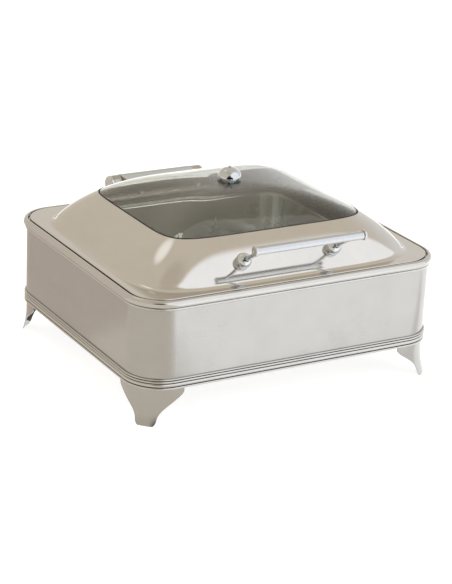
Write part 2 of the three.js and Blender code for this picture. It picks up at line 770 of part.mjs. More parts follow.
function circleRow(radius, z) {
  return domeDirections.map(([x, y]) => {
    const angle = Math.atan2(y * DOME.halfY, x * DOME.halfX);
    return [radius * Math.cos(angle), DOME.y + radius * Math.sin(angle), z];
  });
}

function glassWindow() {
  const levels = [WINDOW_EDGE, 0.66, 0.56, 0.42, 0.24];
  const crown = domeHeight(0);
  return skin([
    ...levels.map((level) => domeRow(level)),
    circleRow(VENT.seatRadius + 2, crown),
    circleRow(VENT.hole, crown),
    circleRow(VENT.hole, crown - GLASS_THICK),
    circleRow(VENT.seatRadius + 2, crown - GLASS_THICK),
    ...levels.toReversed().map((level) => domeRow(level, -GLASS_THICK)),
  ], true);
}

// ---- Steam vent -------------------------------------------------------------------------------
const ventFloor = domeHeight(0) + GAP;
const ventSeatTop = ventFloor + VENT.seatThick;

function ventSeat() {
  const { seatRadius, stud, seatThick } = VENT;
  return turned([
    [0, ventFloor - 16], [stud, ventFloor - 16], [stud, ventFloor],
    [seatRadius, ventFloor], [seatRadius, ventFloor + 1.4], [seatRadius - 1.2, ventSeatTop],
    [0, ventFloor + seatThick],
  ], 28).translate(0, DOME.y, 0);
}

function ventCap() {
  const floor = ventSeatTop + GAP;
  const { radius, height } = VENT;
  const shellThick = 1.6;
  const outside = arc(0, floor, radius, height, 0, 84, 6);
  const inside = arc(0, floor, radius - shellThick, height - shellThick, 90, 0, 4);
  const dome = turned([
    [0, floor + height - shellThick], ...inside.slice(1), ...outside,
    [1.8, floor + height + 1.6], [0, floor + height + 1.8],
  ], 24);
  const slots = [-120, 0, 120].map((degrees) => {
    const slot = new THREE.BoxGeometry(8, 6, 6).translate(radius, 0, floor);
    return slot.rotateZ(THREE.MathUtils.degToRad(degrees));
  });
  return cut(dome, ...slots).translate(0, DOME.y, 0);
}

function ventNut() {
  const top = domeHeight(0) - GLASS_THICK - GAP;
  return hexNut(VENT.stud + GAP, 8, top - 5, top).translate(0, DOME.y, 0);
}

// ---- Handle -------------------------------------------------------------------------------------
// The studs leave the dome where its outward direction passes through the ball centres.
function studFoot() {
  let [low, high] = [-178, -130];
  const miss = (y) => {
    const side = domeSide(y);
    return (HANDLE.ballY - side.y) * side.normalZ - (HANDLE.ballZ - side.z) * side.normalY;
  };
  const rising = miss(high) > miss(low);
  for (let i = 0; i < 40; i += 1) {
    const middle = (low + high) / 2;
    const above = miss(middle) > 0;
    [low, high] = above === rising ? [low, middle] : [middle, high];
  }
  return (low + high) / 2;
}
const studFootY = studFoot();

function handleBall() {
  const { ballX, ballY, ballZ, ballRadius } = HANDLE;
  const side = domeSide(studFootY);
  const reach = Math.hypot(ballY - side.y, ballZ - side.z);
  const seat = GAP;
  const flatAngle = THREE.MathUtils.radToDeg(Math.asin((seat - reach) / ballRadius));
  const profile = arc(0, reach, ballRadius, ballRadius, Math.max(flatAngle, -80), 90, 7);
  const ball = turned([
    [0, -11], [2.8, -11], [2.8, seat], [profile[0][0], seat], ...profile.slice(1, -1),
    [0, reach + ballRadius],
  ], 16);
  const socket = postSocket();
  return cut(alongDomeNormal(ball, ballX, studFootY, 0), socket);
}

const postStart = new THREE.Vector3(HANDLE.ballX, HANDLE.ballY, HANDLE.ballZ);
const postEnd = new THREE.Vector3(HANDLE.ballX, BAR.y, BAR.z);
const postDirection = postEnd.clone().sub(postStart).normalize();

function postSocket() {
  const socket = turned([[0, 4], [3.3, 4], [3.3, 16], [0, 16]], 16);
  return pointed(socket, postStart, postDirection);
}

function handlePost() {
  const length = postEnd.distanceTo(postStart) - BAR.radius - GAP;
  const { postRadius } = HANDLE;
  const post = turned([
    [0, 4.3], [postRadius, 4.3], [postRadius, length - 3],
    [postRadius + 0.7, length - 1], [postRadius - 0.4, length], [0, length],
  ], 16);
  return pointed(post, postStart, postDirection);
}

function handleNut() {
  const seat = -LID_THICK - GAP - 0.1;
  const nut = hexNut(3.1, 5.5, seat - 5, seat);
  return alongDomeNormal(nut, HANDLE.ballX, studFootY, 0);
}

function handleBar() {
  const half = BAR.half - BAR.capThick - GAP;
  return rod(BAR.radius, [-half, BAR.y, BAR.z], [half, BAR.y, BAR.z], 28);
}

function handleEndCap() {
  const { capRadius, capThick } = BAR;
  const cap = turned([
    [0, 0], [capRadius - 0.5, 0], [capRadius, 0.6], [capRadius, capThick - 1],
    [capRadius - 1, capThick], [0, capThick],
  ], 24);
  return pointed(
    cap, new THREE.Vector3(BAR.half - capThick, BAR.y, BAR.z), new THREE.Vector3(1, 0, 0));
}

// ---- Build -------------------------------------------------------------------------------------
place('body_skirt', bodySkirt(), polished());
place('top_rim', topRim(), polished());
place('base_moulding', baseMoulding(), polished());
place('deck_frame', deckFrame(), brushed());
placeInCorners('foot', foot(), polished);
placeInCorners('foot_screw', footScrew(), chrome);

place('water_pan', waterPan(), brushed());
place('food_pan', foodPan(), brushed());
place('burner_rail', burnerRail(), brushed());
placePair('fuel_holder', fuelHolder(), brushed);
placePair('snuffer_cover', snufferCover(), brushed);
placePair('snuffer_pivot', snufferPivot(), chrome);

placePair('hinge_bracket', hingeBracket(), brushed);
bracketScrewHeights.forEach((z, i) => {
  placePair(i === 0 ? 'bracket_screw_lower' : 'bracket_screw_upper', bracketScrew(z), chrome);
});
place('hinge_shaft', hingeShaft(), springSteel());
placePair('hinge_bushing', hingeBushing(), nylon);
place('hinge_spring', hingeSpring(), springSteel());
placePair('hinge_cap', hingeCap(), chrome);
place('hinge_leaf', hingeLeaf(), polished());
placePair('leaf_rivet', leafRivet(), chrome);

place('lid_shell', lidShell(), polished());
place('window_gasket', windowGasket(), rubber());
place('glass_window', glassWindow(), glass());
place('vent_seat', ventSeat(), chrome());
place('vent_cap', ventCap(), chrome());
place('vent_nut', ventNut(), chrome());

placePair('handle_ball', handleBall(), chrome);
placePair('handle_post', handlePost(), chrome);
placePair('handle_nut', handleNut(), chrome);
place('handle_bar', handleBar(), satin());
placePair('handle_end_cap', handleEndCap(), chrome);

export default group;
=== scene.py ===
# Square roll top chafer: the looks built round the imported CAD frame. Metres, +Z up.
import math

import bpy
import bmesh
from mathutils import Matrix, Vector


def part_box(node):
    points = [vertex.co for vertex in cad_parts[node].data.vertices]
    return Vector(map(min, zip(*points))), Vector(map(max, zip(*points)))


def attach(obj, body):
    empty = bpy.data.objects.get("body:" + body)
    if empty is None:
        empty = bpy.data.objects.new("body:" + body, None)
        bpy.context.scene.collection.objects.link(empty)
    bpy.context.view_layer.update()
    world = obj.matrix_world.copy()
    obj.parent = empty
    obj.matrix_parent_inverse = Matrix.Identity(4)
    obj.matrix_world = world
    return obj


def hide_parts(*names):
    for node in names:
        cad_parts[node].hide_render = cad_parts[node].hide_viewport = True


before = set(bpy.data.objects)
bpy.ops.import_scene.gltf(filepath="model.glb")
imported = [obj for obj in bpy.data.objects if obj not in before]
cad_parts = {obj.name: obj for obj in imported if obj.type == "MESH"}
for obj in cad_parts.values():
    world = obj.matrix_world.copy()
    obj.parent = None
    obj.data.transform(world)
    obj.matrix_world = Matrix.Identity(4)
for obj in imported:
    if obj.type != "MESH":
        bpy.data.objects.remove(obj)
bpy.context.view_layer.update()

# ---- Places taken from the CAD frame ----
SKIRT_LOW, SKIRT_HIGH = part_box("body_skirt")
RIM_LOW, RIM_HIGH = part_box("top_rim")
_, MOULDING_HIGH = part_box("base_moulding")
DECK_LOW, DECK_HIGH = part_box("deck_frame")
_, GLASS_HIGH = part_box("glass_window")
FLANGE_LOW, FLANGE_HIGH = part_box("lid_shell")
_, LEAF_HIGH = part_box("hinge_leaf")
SHAFT_LOW, SHAFT_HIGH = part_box("hinge_shaft")
_, FOOT_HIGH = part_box("foot_rear_right")
WATER_LOW, WATER_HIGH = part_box("water_pan")
FOOD_LOW, FOOD_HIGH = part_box("food_pan")
HOLDER_LOW, HOLDER_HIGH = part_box("fuel_holder_right")
COVER_LOW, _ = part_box("snuffer_cover_right")
BAR_LOW, BAR_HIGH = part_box("handle_bar")
CAP_LOW, CAP_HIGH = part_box("handle_end_cap_right")
SEAT_LOW, SEAT_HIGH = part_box("vent_seat")
VENT_LOW, VENT_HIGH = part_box("vent_cap")
KNUCKLE_LOW, KNUCKLE_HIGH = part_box("hinge_bracket_right")
END_LOW, END_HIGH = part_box("hinge_cap_right")

HOLDER_X = (HOLDER_LOW.x + HOLDER_HIGH.x) / 2
ALONG = Vector((1, 0, 0))

# Clearance between pieces that touch, the body's plan and the gauge of its sheet
GAP = 0.0003
HALF_X = SKIRT_HIGH.x
HALF_Y = SKIRT_HIGH.y
CORNER = 0.0485
CORNER_STEPS = 20
SHEET = 0.0012

# ---- Dome ----
DOME_X = 0.2067
DOME_Y = 0.1767
DOME_CENTRE_Y = (SEAT_LOW.y + SEAT_HIGH.y) / 2
DOME_BASE = 0.168
DOME_RISE = GLASS_HIGH.z - DOME_BASE
DOME_SQUARENESS = 6.4
WINDOW_SHIFT = 0.003
SHIFT_START = 0.9
DOME_CROWN = 2.5
DOME_SHOULDER = 1 / 1.2
DOME_STATIONS = 160
LID_THICK = 0.0014
LID_DROP = 0.0019
UNDER_LID = -LID_THICK - GAP - 0.0001
COVE_START = 0.968
COVE_RADIUS = 0.011
COVE_REACH = 0.9
COVE_TANGENT = 0.4
FLANGE_TOP = 0.171
FLANGE_THICK = 0.001
FLANGE_CORNER = 0.046
FLANGE_RELIEF = 0.0015
WINDOW_EDGE = 0.7225
GASKET_EDGE = 0.7245
GASKET_OUTER = 0.7275
LID_EDGE = 0.7295
GLASS_THICK = 0.004

# ---- Handle and vent ----
BALL_CENTRE = Vector((0.068, -0.166, 0.197))
BALL_RADIUS = 0.0105
POST_RADIUS = 0.003
BAR_CENTRE = (BAR_LOW + BAR_HIGH) / 2
BAR_RADIUS = (BAR_HIGH.z - BAR_LOW.z) / 2
STUD_SEARCH = (-0.178, -0.130)
VENT_SLOTS = (-120, 0, 120)

# ---- Hinge ----
HINGE_Y = (SHAFT_LOW.y + SHAFT_HIGH.y) / 2
HINGE_Z = (SHAFT_LOW.z + SHAFT_HIGH.z) / 2
BARREL_RADIUS = 0.013
LEAF_THICK = 0.0024
SHAFT_BORE = 0.0053
RIVET_X = 0.046
RIVET_Y = 0.1605

# ---- Camera ----
CAMERA_AZIMUTH = -30.41
CAMERA_ELEVATION = 20.86
CAMERA_DISTANCE = 2.7824
CAMERA_ROLL = 2.69
CAMERA_TARGET = Vector((0.0041, -0.0023, 0.0855))
CAMERA_LENS = 124.07
CAMERA_SENSOR = 36.0
CAMERA_CLIP = (0.05, 50.0)


# ---- Profiles ----
def softened(points, radius, steps=4, closed=False):
    """The same line of points, in any number of coordinates, with its corners rounded."""
    count = len(points)
    result = []
    for i, point in enumerate(points):
        if not closed and i in (0, count - 1):
            result.append(tuple(point))
            continue
        before, after = points[i - 1], points[(i + 1) % count]
        start = towards(point, before, radius)
        end = towards(point, after, radius)
        for k in range(steps + 1):
            t = k / steps
            result.append(tuple(
                a * (1 - t) ** 2 + b * 2 * t * (1 - t) + c * t ** 2
                for a, b, c in zip(start, point, end)))
    return result


def towards(point, other, distance):
    """A distance along the way from a point to another, and never past the middle."""
    span = math.dist(point, other)
    share = min(distance / max(span, 1e-9), 0.45)
    return [a + (b - a) * share for a, b in zip(point, other)]


def arc(centre_a, centre_b, radius_a, radius_b, start, end, steps):
    """Points round part of an ellipse, from one angle in degrees to another."""
    turns = [math.radians(start + (end - start) * i / steps) for i in range(steps + 1)]
    return [(centre_a + radius_a * math.cos(t), centre_b + radius_b * math.sin(t)) for t in turns]


def rounded_rectangle(half_x, half_y, corner, centre_y, z, steps=CORNER_STEPS):
    points = []
    for sign_x, sign_y, start in ((1, 1, 0), (-1, 1, 90), (-1, -1, 180), (1, -1, 270)):
        middle = (sign_x * (half_x - corner), centre_y + sign_y * (half_y - corner))
        quarter = arc(*middle, corner, corner, start, start + 90, steps)
        points += [(x, y, z) for x, y in quarter]
    return points


def body_outline(offset, z):
    return rounded_rectangle(HALF_X + offset, HALF_Y + offset, CORNER + offset, 0, z)


def last_true(low, high, test):
    """Where, on the way from low to high, a test that holds at low stops holding."""
    for _ in range(40):
        middle = (low + high) / 2
        if test(middle):
            low = middle
        else:
            high = middle
    return low


# ---- Mesh making ----
def loft(rows, ring):
    """Loops of points joined in order; a ring's last joins its first, else both ends close."""
    count = len(rows[0])
    points = [p for row in rows for p in row]
    faces = []
    spans = len(rows) if ring else len(rows) - 1
    for r in range(spans):
        below, above = r * count, (r + 1) % len(rows) * count
        for j in range(count):
            k = (j + 1) % count
            faces.append((below + j, below + k, above + k, above + j))
    if not ring:
        faces.append(tuple(range(count))[::-1])
        faces.append(tuple((len(rows) - 1) * count + j for j in range(count)))
    return points, faces


def circle(radius, z, segments=48):
    turns = [2 * math.pi * i / segments for i in range(segments)]
    return [(radius * math.cos(t), radius * math.sin(t), z) for t in turns]


def lathe(profile, segments=48):
    """A profile of (radius, height) turned round Z; points on the axis become one point."""
    points, faces, rows = [], [], []
    for radius, height in profile:
        if radius < 1e-7:
            rows.append([len(points)] * segments)
            points.append((0, 0, height))
            continue
        rows.append([len(points) + i for i in range(segments)])
        points += circle(radius, height, segments)
    for lower, upper in zip(rows, rows[1:]):
        for j in range(segments):
            k = (j + 1) % segments
            corners = dict.fromkeys((lower[j], lower[k], upper[k], upper[j]))
            if len(corners) > 2:
                faces.append(tuple(corners))
    return points, faces


def hexagon(flats, z, segments=48):
    """A six-sided loop of as many points as a circle; flats is the distance to its sides."""
    row = []
    for i in range(segments):
        turn = 2 * math.pi * i / segments
        radius = flats / math.cos(math.remainder(turn, math.pi / 3))
        row.append((radius * math.cos(turn), radius * math.sin(turn), z))
    return row


def extruded(outline, start, end):
    """A (y, z) outline made solid from start to end along X."""
    rows = [[(x, y, z) for y, z in outline] for x in (start, end)]
    return loft(rows, ring=False)


def pointing(origin, direction):
    turn = Vector(direction).to_track_quat("Z", "Y").to_matrix().to_4x4()
    return Matrix.Translation(origin) @ turn


def moved(shape, matrix):
    points, faces = shape
    return [tuple(matrix @ Vector(p)) for p in points], faces


def both(*shapes):
    points, faces = [], []
    for some_points, some_faces in shapes:
        first = len(points)
        points += some_points
        faces += [tuple(first + i for i in face) for face in some_faces]
    return points, faces


def mirrored(shape, sign_x, sign_y=1):
    points, faces = shape
    return [(sign_x * x, sign_y * y, z) for x, y, z in points], faces


# ---- Pieces ----
SHARP_ANGLE = math.radians(38)
SIDES = (("right", 1), ("left", -1))


def placed(name, data):
    made = bpy.data.objects.new(name, data)
    bpy.context.scene.collection.objects.link(made)
    return made


def edge_radius(made, width, segments):
    rounding = made.modifiers.new("Edge radius", "BEVEL")
    rounding.width = width
    rounding.segments = segments
    rounding.limit_method = "ANGLE"
    return rounding


def piece(name, shape, body, finish, node=None, weld=1e-6, bevel=0, flat_walls=False):
    """A finer mesh that rides on a body and stands for the CAD node of its own name or another."""
    mesh = bpy.data.meshes.new(name)
    work = bmesh.new()
    verts = [work.verts.new(p) for p in shape[0]]
    for face in shape[1]:
        work.faces.new([verts[i] for i in face])
    bmesh.ops.remove_doubles(work, verts=work.verts, dist=weld)
    bmesh.ops.dissolve_degenerate(work, dist=weld / 2, edges=work.edges)
    bmesh.ops.recalc_face_normals(work, faces=work.faces)
    for face in work.faces:
        face.smooth = True
    for edge in work.edges:
        edge.smooth = len(edge.link_faces) != 2 or edge.calc_face_angle() < SHARP_ANGLE
    work.to_mesh(mesh)
    work.free()
    made = placed(name, mesh)
    mesh.materials.append(finish)
    if bevel:
        edge_radius(made, bevel, 3).angle_limit = SHARP_ANGLE
    if flat_walls or bevel:
        weights = made.modifiers.new("Flat walls", "WEIGHTED_NORMAL")
        weights.keep_sharp = True
        weights.weight = 60
    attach(made, body)
    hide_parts(node or name)


def pair(name, shape, body, finish, bevel=0):
    """The piece on the right and its mirror image on the left; SIDE stands for either word."""
    for side, sign in SIDES:
        own_body = body.replace("SIDE", side)
        piece(f"{name}_{side}", mirrored(shape, sign), own_body, finish, bevel=bevel)


# ---- Material nodes ----
EDGE_POINTINESS = (0.51, 0.58)
GROOVE_POINTINESS = (0.499, 0.472)
# Near-black of the painted shade down in grooves, which stands in for the shadow there
PAINTED_GROOVE_SHADE = (0.035, 0.032, 0.028)


class Graph:
    """The node tree of a material or world, with helpers for ranges and mixes."""

    def __init__(self, owner):
        owner.use_nodes = True
        self.nodes = owner.node_tree.nodes
        self.links = owner.node_tree.links

    def node(self, kind, sockets, **settings):
        made = self.nodes.new(kind)
        for key, value in settings.items():
            setattr(made, key, value)
        self.fill(made, sockets)
        return made

    def fill(self, node, sockets):
        """Gives each named socket another node's output, a colour or a plain value."""
        for key, value in sockets.items():
            socket = node.inputs[key]
            if isinstance(value, bpy.types.NodeSocket):
                self.links.new(value, socket)
            elif socket.type == "RGBA":
                socket.default_value = (*value, 1)
            else:
                socket.default_value = value

    def ranged(self, value, low, high, to_low=0, to_high=1, **settings):
        sockets = {"Value": value, "From Min": low, "From Max": high,
                   "To Min": to_low, "To Max": to_high}
        return self.node("ShaderNodeMapRange", sockets, **settings).outputs["Result"]

    def mixed(self, factor, first, second):
        """From first to second as the factor goes from 0 to 1."""
        sockets = {"Factor": factor, "A": first, "B": second}
        return self.node("ShaderNodeMix", sockets, data_type="RGBA").outputs["Result"]


class Finish(Graph):
    """A Principled material with small helpers for its procedural detail."""

    def __init__(self, name, colour, slot=None, **sockets):
        self.material = bpy.data.materials.new(name)
        super().__init__(self.material)
        self.shader = self.nodes["Principled BSDF"]
        named = {key.replace("_", " "): value for key, value in sockets.items()}
        self.fill(self.shader, {"Base Color": colour, **named})

    def noise(self, scale, stretch=(1, 1, 1), detail=3.0, roughness=0.5):
        """Noise over the object's own space; a stretch under 1 draws it out along that axis."""
        place = self.node("ShaderNodeTexCoord", {}).outputs["Object"]
        mapping = self.node("ShaderNodeMapping", {"Vector": place, "Scale": stretch})
        return self.node("ShaderNodeTexNoise", {
            "Vector": mapping.outputs["Vector"], "Scale": scale, "Detail": detail,
            "Roughness": roughness}).outputs["Fac"]

    def roughness(self, first, *more):
        """A sum of layers, each (value, its low, its high, roughness at low, at high)."""
        total = self.ranged(*first)
        for layer in more:
            sockets = {0: total, 1: self.ranged(*layer)}
            total = self.node("ShaderNodeMath", sockets, operation="ADD").outputs["Value"]
        self.fill(self.shader, {"Roughness": total})

    def colour(self, value, low, high, first, second):
        """The colour runs from first to second as value runs from low to high."""
        mix = self.mixed(self.ranged(value, low, high), first, second)
        self.fill(self.shader, {"Base Color": mix})

    def bump(self, *layers):
        """Layers of (height, depth in metres) carved one over the other."""
        carved = {}
        for height, depth in layers:
            node = self.node("ShaderNodeBump", {"Height": height, "Distance": depth, **carved})
            carved = {"Normal": node.outputs["Normal"]}
        self.fill(self.shader, carved)

    def worn_edges(self):
        """Rises from 0 on flats to 1 along edges that hands and cloths rub."""
        geometry = self.node("ShaderNodeNewGeometry", {})
        return self.ranged(geometry.outputs["Pointiness"], *EDGE_POINTINESS)

    def hollows(self):
        """Rises from 0 on flats to 1 down in grooves, where shade is painted into the colour."""
        geometry = self.node("ShaderNodeNewGeometry", {})
        return self.ranged(geometry.outputs["Pointiness"], *GROOVE_POINTINESS)

    def with_painted_shade(self, value, amount):
        """Turns the colour set so far towards a near-black painted shade as value runs from 0 to
        1.
        """
        clean = self.shader.inputs["Base Color"].links[0].from_socket
        share = self.ranged(value, 0, 1, 0, amount)
        self.fill(self.shader, {"Base Color": self.mixed(share, clean, PAINTED_GROOVE_SHADE)})


def polished_steel(name="polished_steel", tint=(0.66, 0.645, 0.62), roughness=0.075,
                   waviness=0.00001, grooves=False):
    """Mirror-polished stainless: buffing haze, wiped smears, hairline scratches, wavy sheet."""
    finish = Finish(name, tint, "polished_steel", Metallic=1.0)
    haze = finish.noise(9, detail=4)
    smear = finish.noise(26, stretch=(1, 0.35, 1), detail=5, roughness=0.62)
    hairline = finish.noise(420, stretch=(1, 0.06, 0.35), detail=2)
    sheet = finish.noise(14, detail=1)
    finish.roughness((haze, 0.35, 0.65, roughness * 0.8, roughness * 1.25),
                     (smear, 0.52, 0.7, 0, 0.05), (finish.worn_edges(), 0, 1, 0, 0.06))
    bright, dull = (tuple(part * share for part in tint) for share in (1.015, 0.95))
    finish.colour(smear, 0.35, 0.75, bright, dull)
    # grooves turns on painted shade: the colour goes near-black down in grooves, in place of their
    # shadow
    if grooves:
        finish.with_painted_shade(finish.hollows(), 0.9)
    finish.bump((sheet, waviness), (hairline, 0.0000012))
    return finish.material


def brushed_steel():
    """Satin stainless with a fine grain along X and water marks."""
    finish = Finish("brushed_steel", (0.5, 0.49, 0.46), Metallic=1.0)
    grain = finish.noise(900, stretch=(0.02, 1, 1), detail=3, roughness=0.6)
    marks = finish.noise(22, detail=5, roughness=0.6)
    finish.roughness((grain, 0.3, 0.7, 0.2, 0.36), (marks, 0.5, 0.75, 0, 0.1))
    finish.colour(marks, 0.35, 0.7, (0.54, 0.525, 0.49), (0.44, 0.43, 0.4))
    finish.bump((grain, 0.000008))
    return finish.material


def pan_steel():
    """The pans' drawn stainless: bright, with faint lines down the walls and cutlery marks."""
    finish = Finish("pan_steel", (0.5, 0.49, 0.45), "brushed_steel", Metallic=1.0)
    drawn = finish.noise(260, stretch=(1, 1, 0.05), detail=3)
    marks = finish.noise(34, stretch=(1, 0.5, 1), detail=5, roughness=0.65)
    finish.roughness((drawn, 0.3, 0.7, 0.2, 0.225), (marks, 0.5, 0.7, 0, 0.09))
    finish.colour(marks, 0.35, 0.7, (0.72, 0.725, 0.69), (0.63, 0.635, 0.6))
    finish.bump((drawn, 0.0000004), (marks, 0.000002))
    return finish.material


def chrome():
    """Bright plate with a faint orange-peel, rubbed a little duller where it is handled."""
    finish = Finish("chrome", (0.64, 0.67, 0.7), Metallic=1.0)
    peel = finish.noise(900, detail=1)
    rub = finish.noise(60, detail=4, roughness=0.6)
    finish.roughness((rub, 0.4, 0.7, 0.035, 0.11))
    finish.colour(rub, 0.4, 0.75, (0.66, 0.69, 0.72), (0.58, 0.605, 0.63))
    finish.bump((peel, 0.0000015))
    return finish.material


def satin_aluminium():
    """Anodised tube: fine turned lines round the bar, worn smoother where fingers close on it."""
    finish = Finish("satin_aluminium", (0.56, 0.6, 0.66), Metallic=1.0)
    turned = finish.noise(500, stretch=(1, 0.02, 0.02), detail=2)
    rub = finish.noise(30, detail=3)
    finish.roughness((turned, 0.3, 0.7, 0.3, 0.315), (rub, 0.4, 0.7, 0, -0.06))
    finish.colour(turned, 0.3, 0.7, (0.6, 0.625, 0.66), (0.57, 0.595, 0.63))
    finish.bump((turned, 0.0000001))
    return finish.material


def spring_steel():
    """Oil-tempered wire and ground shaft: dark, with mottled temper colour."""
    finish = Finish("spring_steel", (0.2, 0.195, 0.19), Metallic=1.0)
    temper = finish.noise(120, detail=4)
    finish.roughness((temper, 0.3, 0.7, 0.3, 0.48))
    finish.colour(temper, 0.35, 0.65, (0.24, 0.235, 0.23), (0.15, 0.145, 0.15))
    finish.bump((temper, 0.00003))
    return finish.material


def silicone():
    """Black gasket silicone, faintly dusty with a moulded grain."""
    finish = Finish("gasket_rubber", (0.016, 0.016, 0.016))
    grain = finish.noise(1600, detail=3)
    dust = finish.noise(90, detail=4)
    finish.roughness((grain, 0.3, 0.7, 0.5, 0.68))
    finish.colour(dust, 0.45, 0.8, (0.05, 0.048, 0.043), (0.09, 0.086, 0.08))
    finish.bump((grain, 0.00004))
    return finish.material


def nylon():
    """Natural nylon bushings with a fine moulded grain."""
    finish = Finish("nylon", (0.7, 0.68, 0.62))
    grain = finish.noise(1200, detail=3)
    finish.roughness((grain, 0.3, 0.7, 0.42, 0.6))
    finish.colour(grain, 0.3, 0.7, (0.72, 0.7, 0.64), (0.64, 0.615, 0.55))
    finish.bump((grain, 0.00003))
    return finish.material


def window_glass():
    """Tempered glass with the grey-green cast of its iron and a film of steam haze."""
    finish = Finish("window_glass", (0.8, 0.82, 0.8), IOR=1.52, Transmission_Weight=1.0)
    film = finish.noise(16, detail=5, roughness=0.6)
    finish.roughness((film, 0.45, 0.75, 0.0, 0.014))
    finish.colour(film, 0.4, 0.75, (0.92, 0.945, 0.92), (0.87, 0.895, 0.87))
    return finish.material


STEEL = polished_steel()
# Rim and moulding steel, with painted shade darkening its grooves
GROOVED_STEEL = polished_steel("grooved_steel", (0.6, 0.6, 0.59), 0.1, grooves=True)
WALL_STEEL = polished_steel("wall_steel", (0.475, 0.48, 0.475), 0.18, 0.000008)
HINGE_STEEL = polished_steel("hinge_steel", (0.54, 0.585, 0.6), 0.12)
BRUSHED = brushed_steel()
PAN = pan_steel()
CHROME = chrome()
ALUMINIUM = satin_aluminium()
SPRING = spring_steel()
SILICONE = silicone()
NYLON = nylon()
GLASS = window_glass()


# ---- Dome geometry ----
def dome_height(level):
    drop = max(0.0, 1 - level ** DOME_CROWN)
    return DOME_BASE + DOME_RISE * drop ** DOME_SHOULDER


def dome_directions():
    power = 2 / DOME_SQUARENESS
    result = []
    for i in range(DOME_STATIONS):
        turn = 2 * math.pi * (i + 0.5) / DOME_STATIONS
        c, s = math.cos(turn), math.sin(turn)
        result.append((math.copysign(abs(c) ** power, c), math.copysign(abs(s) ** power, s)))
    return result


DIRECTIONS = dome_directions()


def over_plan(x, y, z):
    """A point from shares of the dome's half width and half depth."""
    return DOME_X * x, DOME_CENTRE_Y + DOME_Y * y, z


def dome_row(level, lift=0.0):
    """A loop on the dome; rows drift back towards the window, which sits behind the middle."""
    share = max(0.0, min(1.0, (SHIFT_START - level) / (SHIFT_START - LID_EDGE)))
    power = DOME_SQUARENESS
    row = []
    for x, y in DIRECTIONS:
        along_x, along_y = level * x, level * y + WINDOW_SHIFT * share / DOME_Y
        true_level = (abs(along_x) ** power + abs(along_y) ** power) ** (1 / power)
        row.append(over_plan(along_x, along_y, dome_height(true_level) + lift))
    return row


def foot_row(distance, z):
    """The dome's foot pushed outward by a fixed distance."""
    row = []
    for x, y in DIRECTIONS:
        normal = Vector((
            math.copysign(abs(x) ** (DOME_SQUARENESS - 1), x) / DOME_X,
            math.copysign(abs(y) ** (DOME_SQUARENESS - 1), y) / DOME_Y,
        )).normalized()
        foot_x, foot_y, _ = over_plan(COVE_START * x, COVE_START * y, z)
        row.append((foot_x + distance * normal.x, foot_y + distance * normal.y, z))
    return row


def flange_row(inset, z):
    """The lid's outer edge, met along the same directions from the dome's centre.

    It is relieved a little, so that the joint between lid and rim is a real shadow line.
    """
    inset += FLANGE_RELIEF
    half_x, half_y = FLANGE_HIGH.x - inset, FLANGE_HIGH.y - inset
    corner = FLANGE_CORNER - inset

    def inside(point):
        over_x = max(0.0, abs(point[0]) - (half_x - corner))
        over_y = max(0.0, abs(point[1]) - (half_y - corner))
        return math.hypot(over_x, over_y) < corner

    row = []
    for x, y in DIRECTIONS:
        reach = last_true(0.0, 2.0, lambda t: inside(over_plan(x * t, y * t, z)))
        row.append(over_plan(x * reach, y * reach, z))
    return row


def spread(start, end, count):
    return [start + (end - start) * i / count for i in range(count + 1)]


def dome_side(y):
    """The dome's height over its centre line at y, and the surface's outward direction."""
    step = 0.0001
    level = [abs(v - DOME_CENTRE_Y) / DOME_Y for v in (y, y - step, y + step)]
    rise = dome_height(level[2]) - dome_height(level[1])
    return dome_height(level[0]), Vector((0, -rise, 2 * step)).normalized()


def dome_point(x, y, distance=0.0):
    height, normal = dome_side(y)
    return Vector((x, y, height)) + normal * distance, normal


# ---- Lid ----
def cove_section(steps=12):
    """(distance outside the dome's foot, height) from the flat flange up to the dome."""
    side = dome_height(COVE_START)
    section = []
    for k in range(steps + 1):
        t = k / steps
        outward = COVE_REACH * (1 - t) ** 2 + COVE_TANGENT * 2 * t * (1 - t)
        section.append((COVE_RADIUS * outward, FLANGE_TOP + (side - FLANGE_TOP) * t ** 2))
    return section


def lid_shell():
    """A hanging edge, flat flange, cove and dome, then back down along the underside."""
    bottom = FLANGE_LOW.z
    underside = FLANGE_TOP - FLANGE_THICK
    edge_round = 0.0008
    edge_thick = 0.0014
    cove = cove_section()
    thinning = 0.0006
    levels = spread(0.962, 0.79, 22) + spread(0.78, LID_EDGE, 5)
    rows = [flange_row(0, bottom), flange_row(0, FLANGE_TOP - edge_round),
            flange_row(0.00025, FLANGE_TOP - 0.0003), flange_row(edge_round, FLANGE_TOP),
            flange_row(edge_thick, FLANGE_TOP), foot_row(COVE_RADIUS * 0.95, FLANGE_TOP)]
    rows += [foot_row(distance, z) for distance, z in cove[:-1]]
    rows += [dome_row(level) for level in levels]
    rows += [dome_row(LID_EDGE, -LID_DROP)]
    rows += [dome_row(level, -LID_DROP) for level in reversed(levels)]
    rows += [foot_row(distance - thinning, z - FLANGE_THICK) for distance, z in cove[-4::-3]]
    rows += [flange_row(edge_thick, underside), flange_row(edge_thick, bottom)]
    piece("lid", loft(rows, ring=True), "lid", STEEL, "lid_shell")


def window_gasket():
    proud = 0.0003
    shoulder = proud * 0.4
    rounding = 0.0006
    rows = [dome_row(GASKET_OUTER, -GLASS_THICK), dome_row(GASKET_OUTER, shoulder),
            dome_row(GASKET_OUTER - rounding, proud), dome_row(GASKET_EDGE + rounding, proud),
            dome_row(GASKET_EDGE, shoulder), dome_row(GASKET_EDGE, -GLASS_THICK)]
    piece("gasket", loft(rows, ring=True), "lid", SILICONE, "window_gasket")


def circle_row(radius, z):
    """A round loop about the dome's centre with as many points as a dome row."""
    row = []
    for x, y in DIRECTIONS:
        turn = math.atan2(y * DOME_Y, x * DOME_X)
        row.append((radius * math.cos(turn), DOME_CENTRE_Y + radius * math.sin(turn), z))
    return row


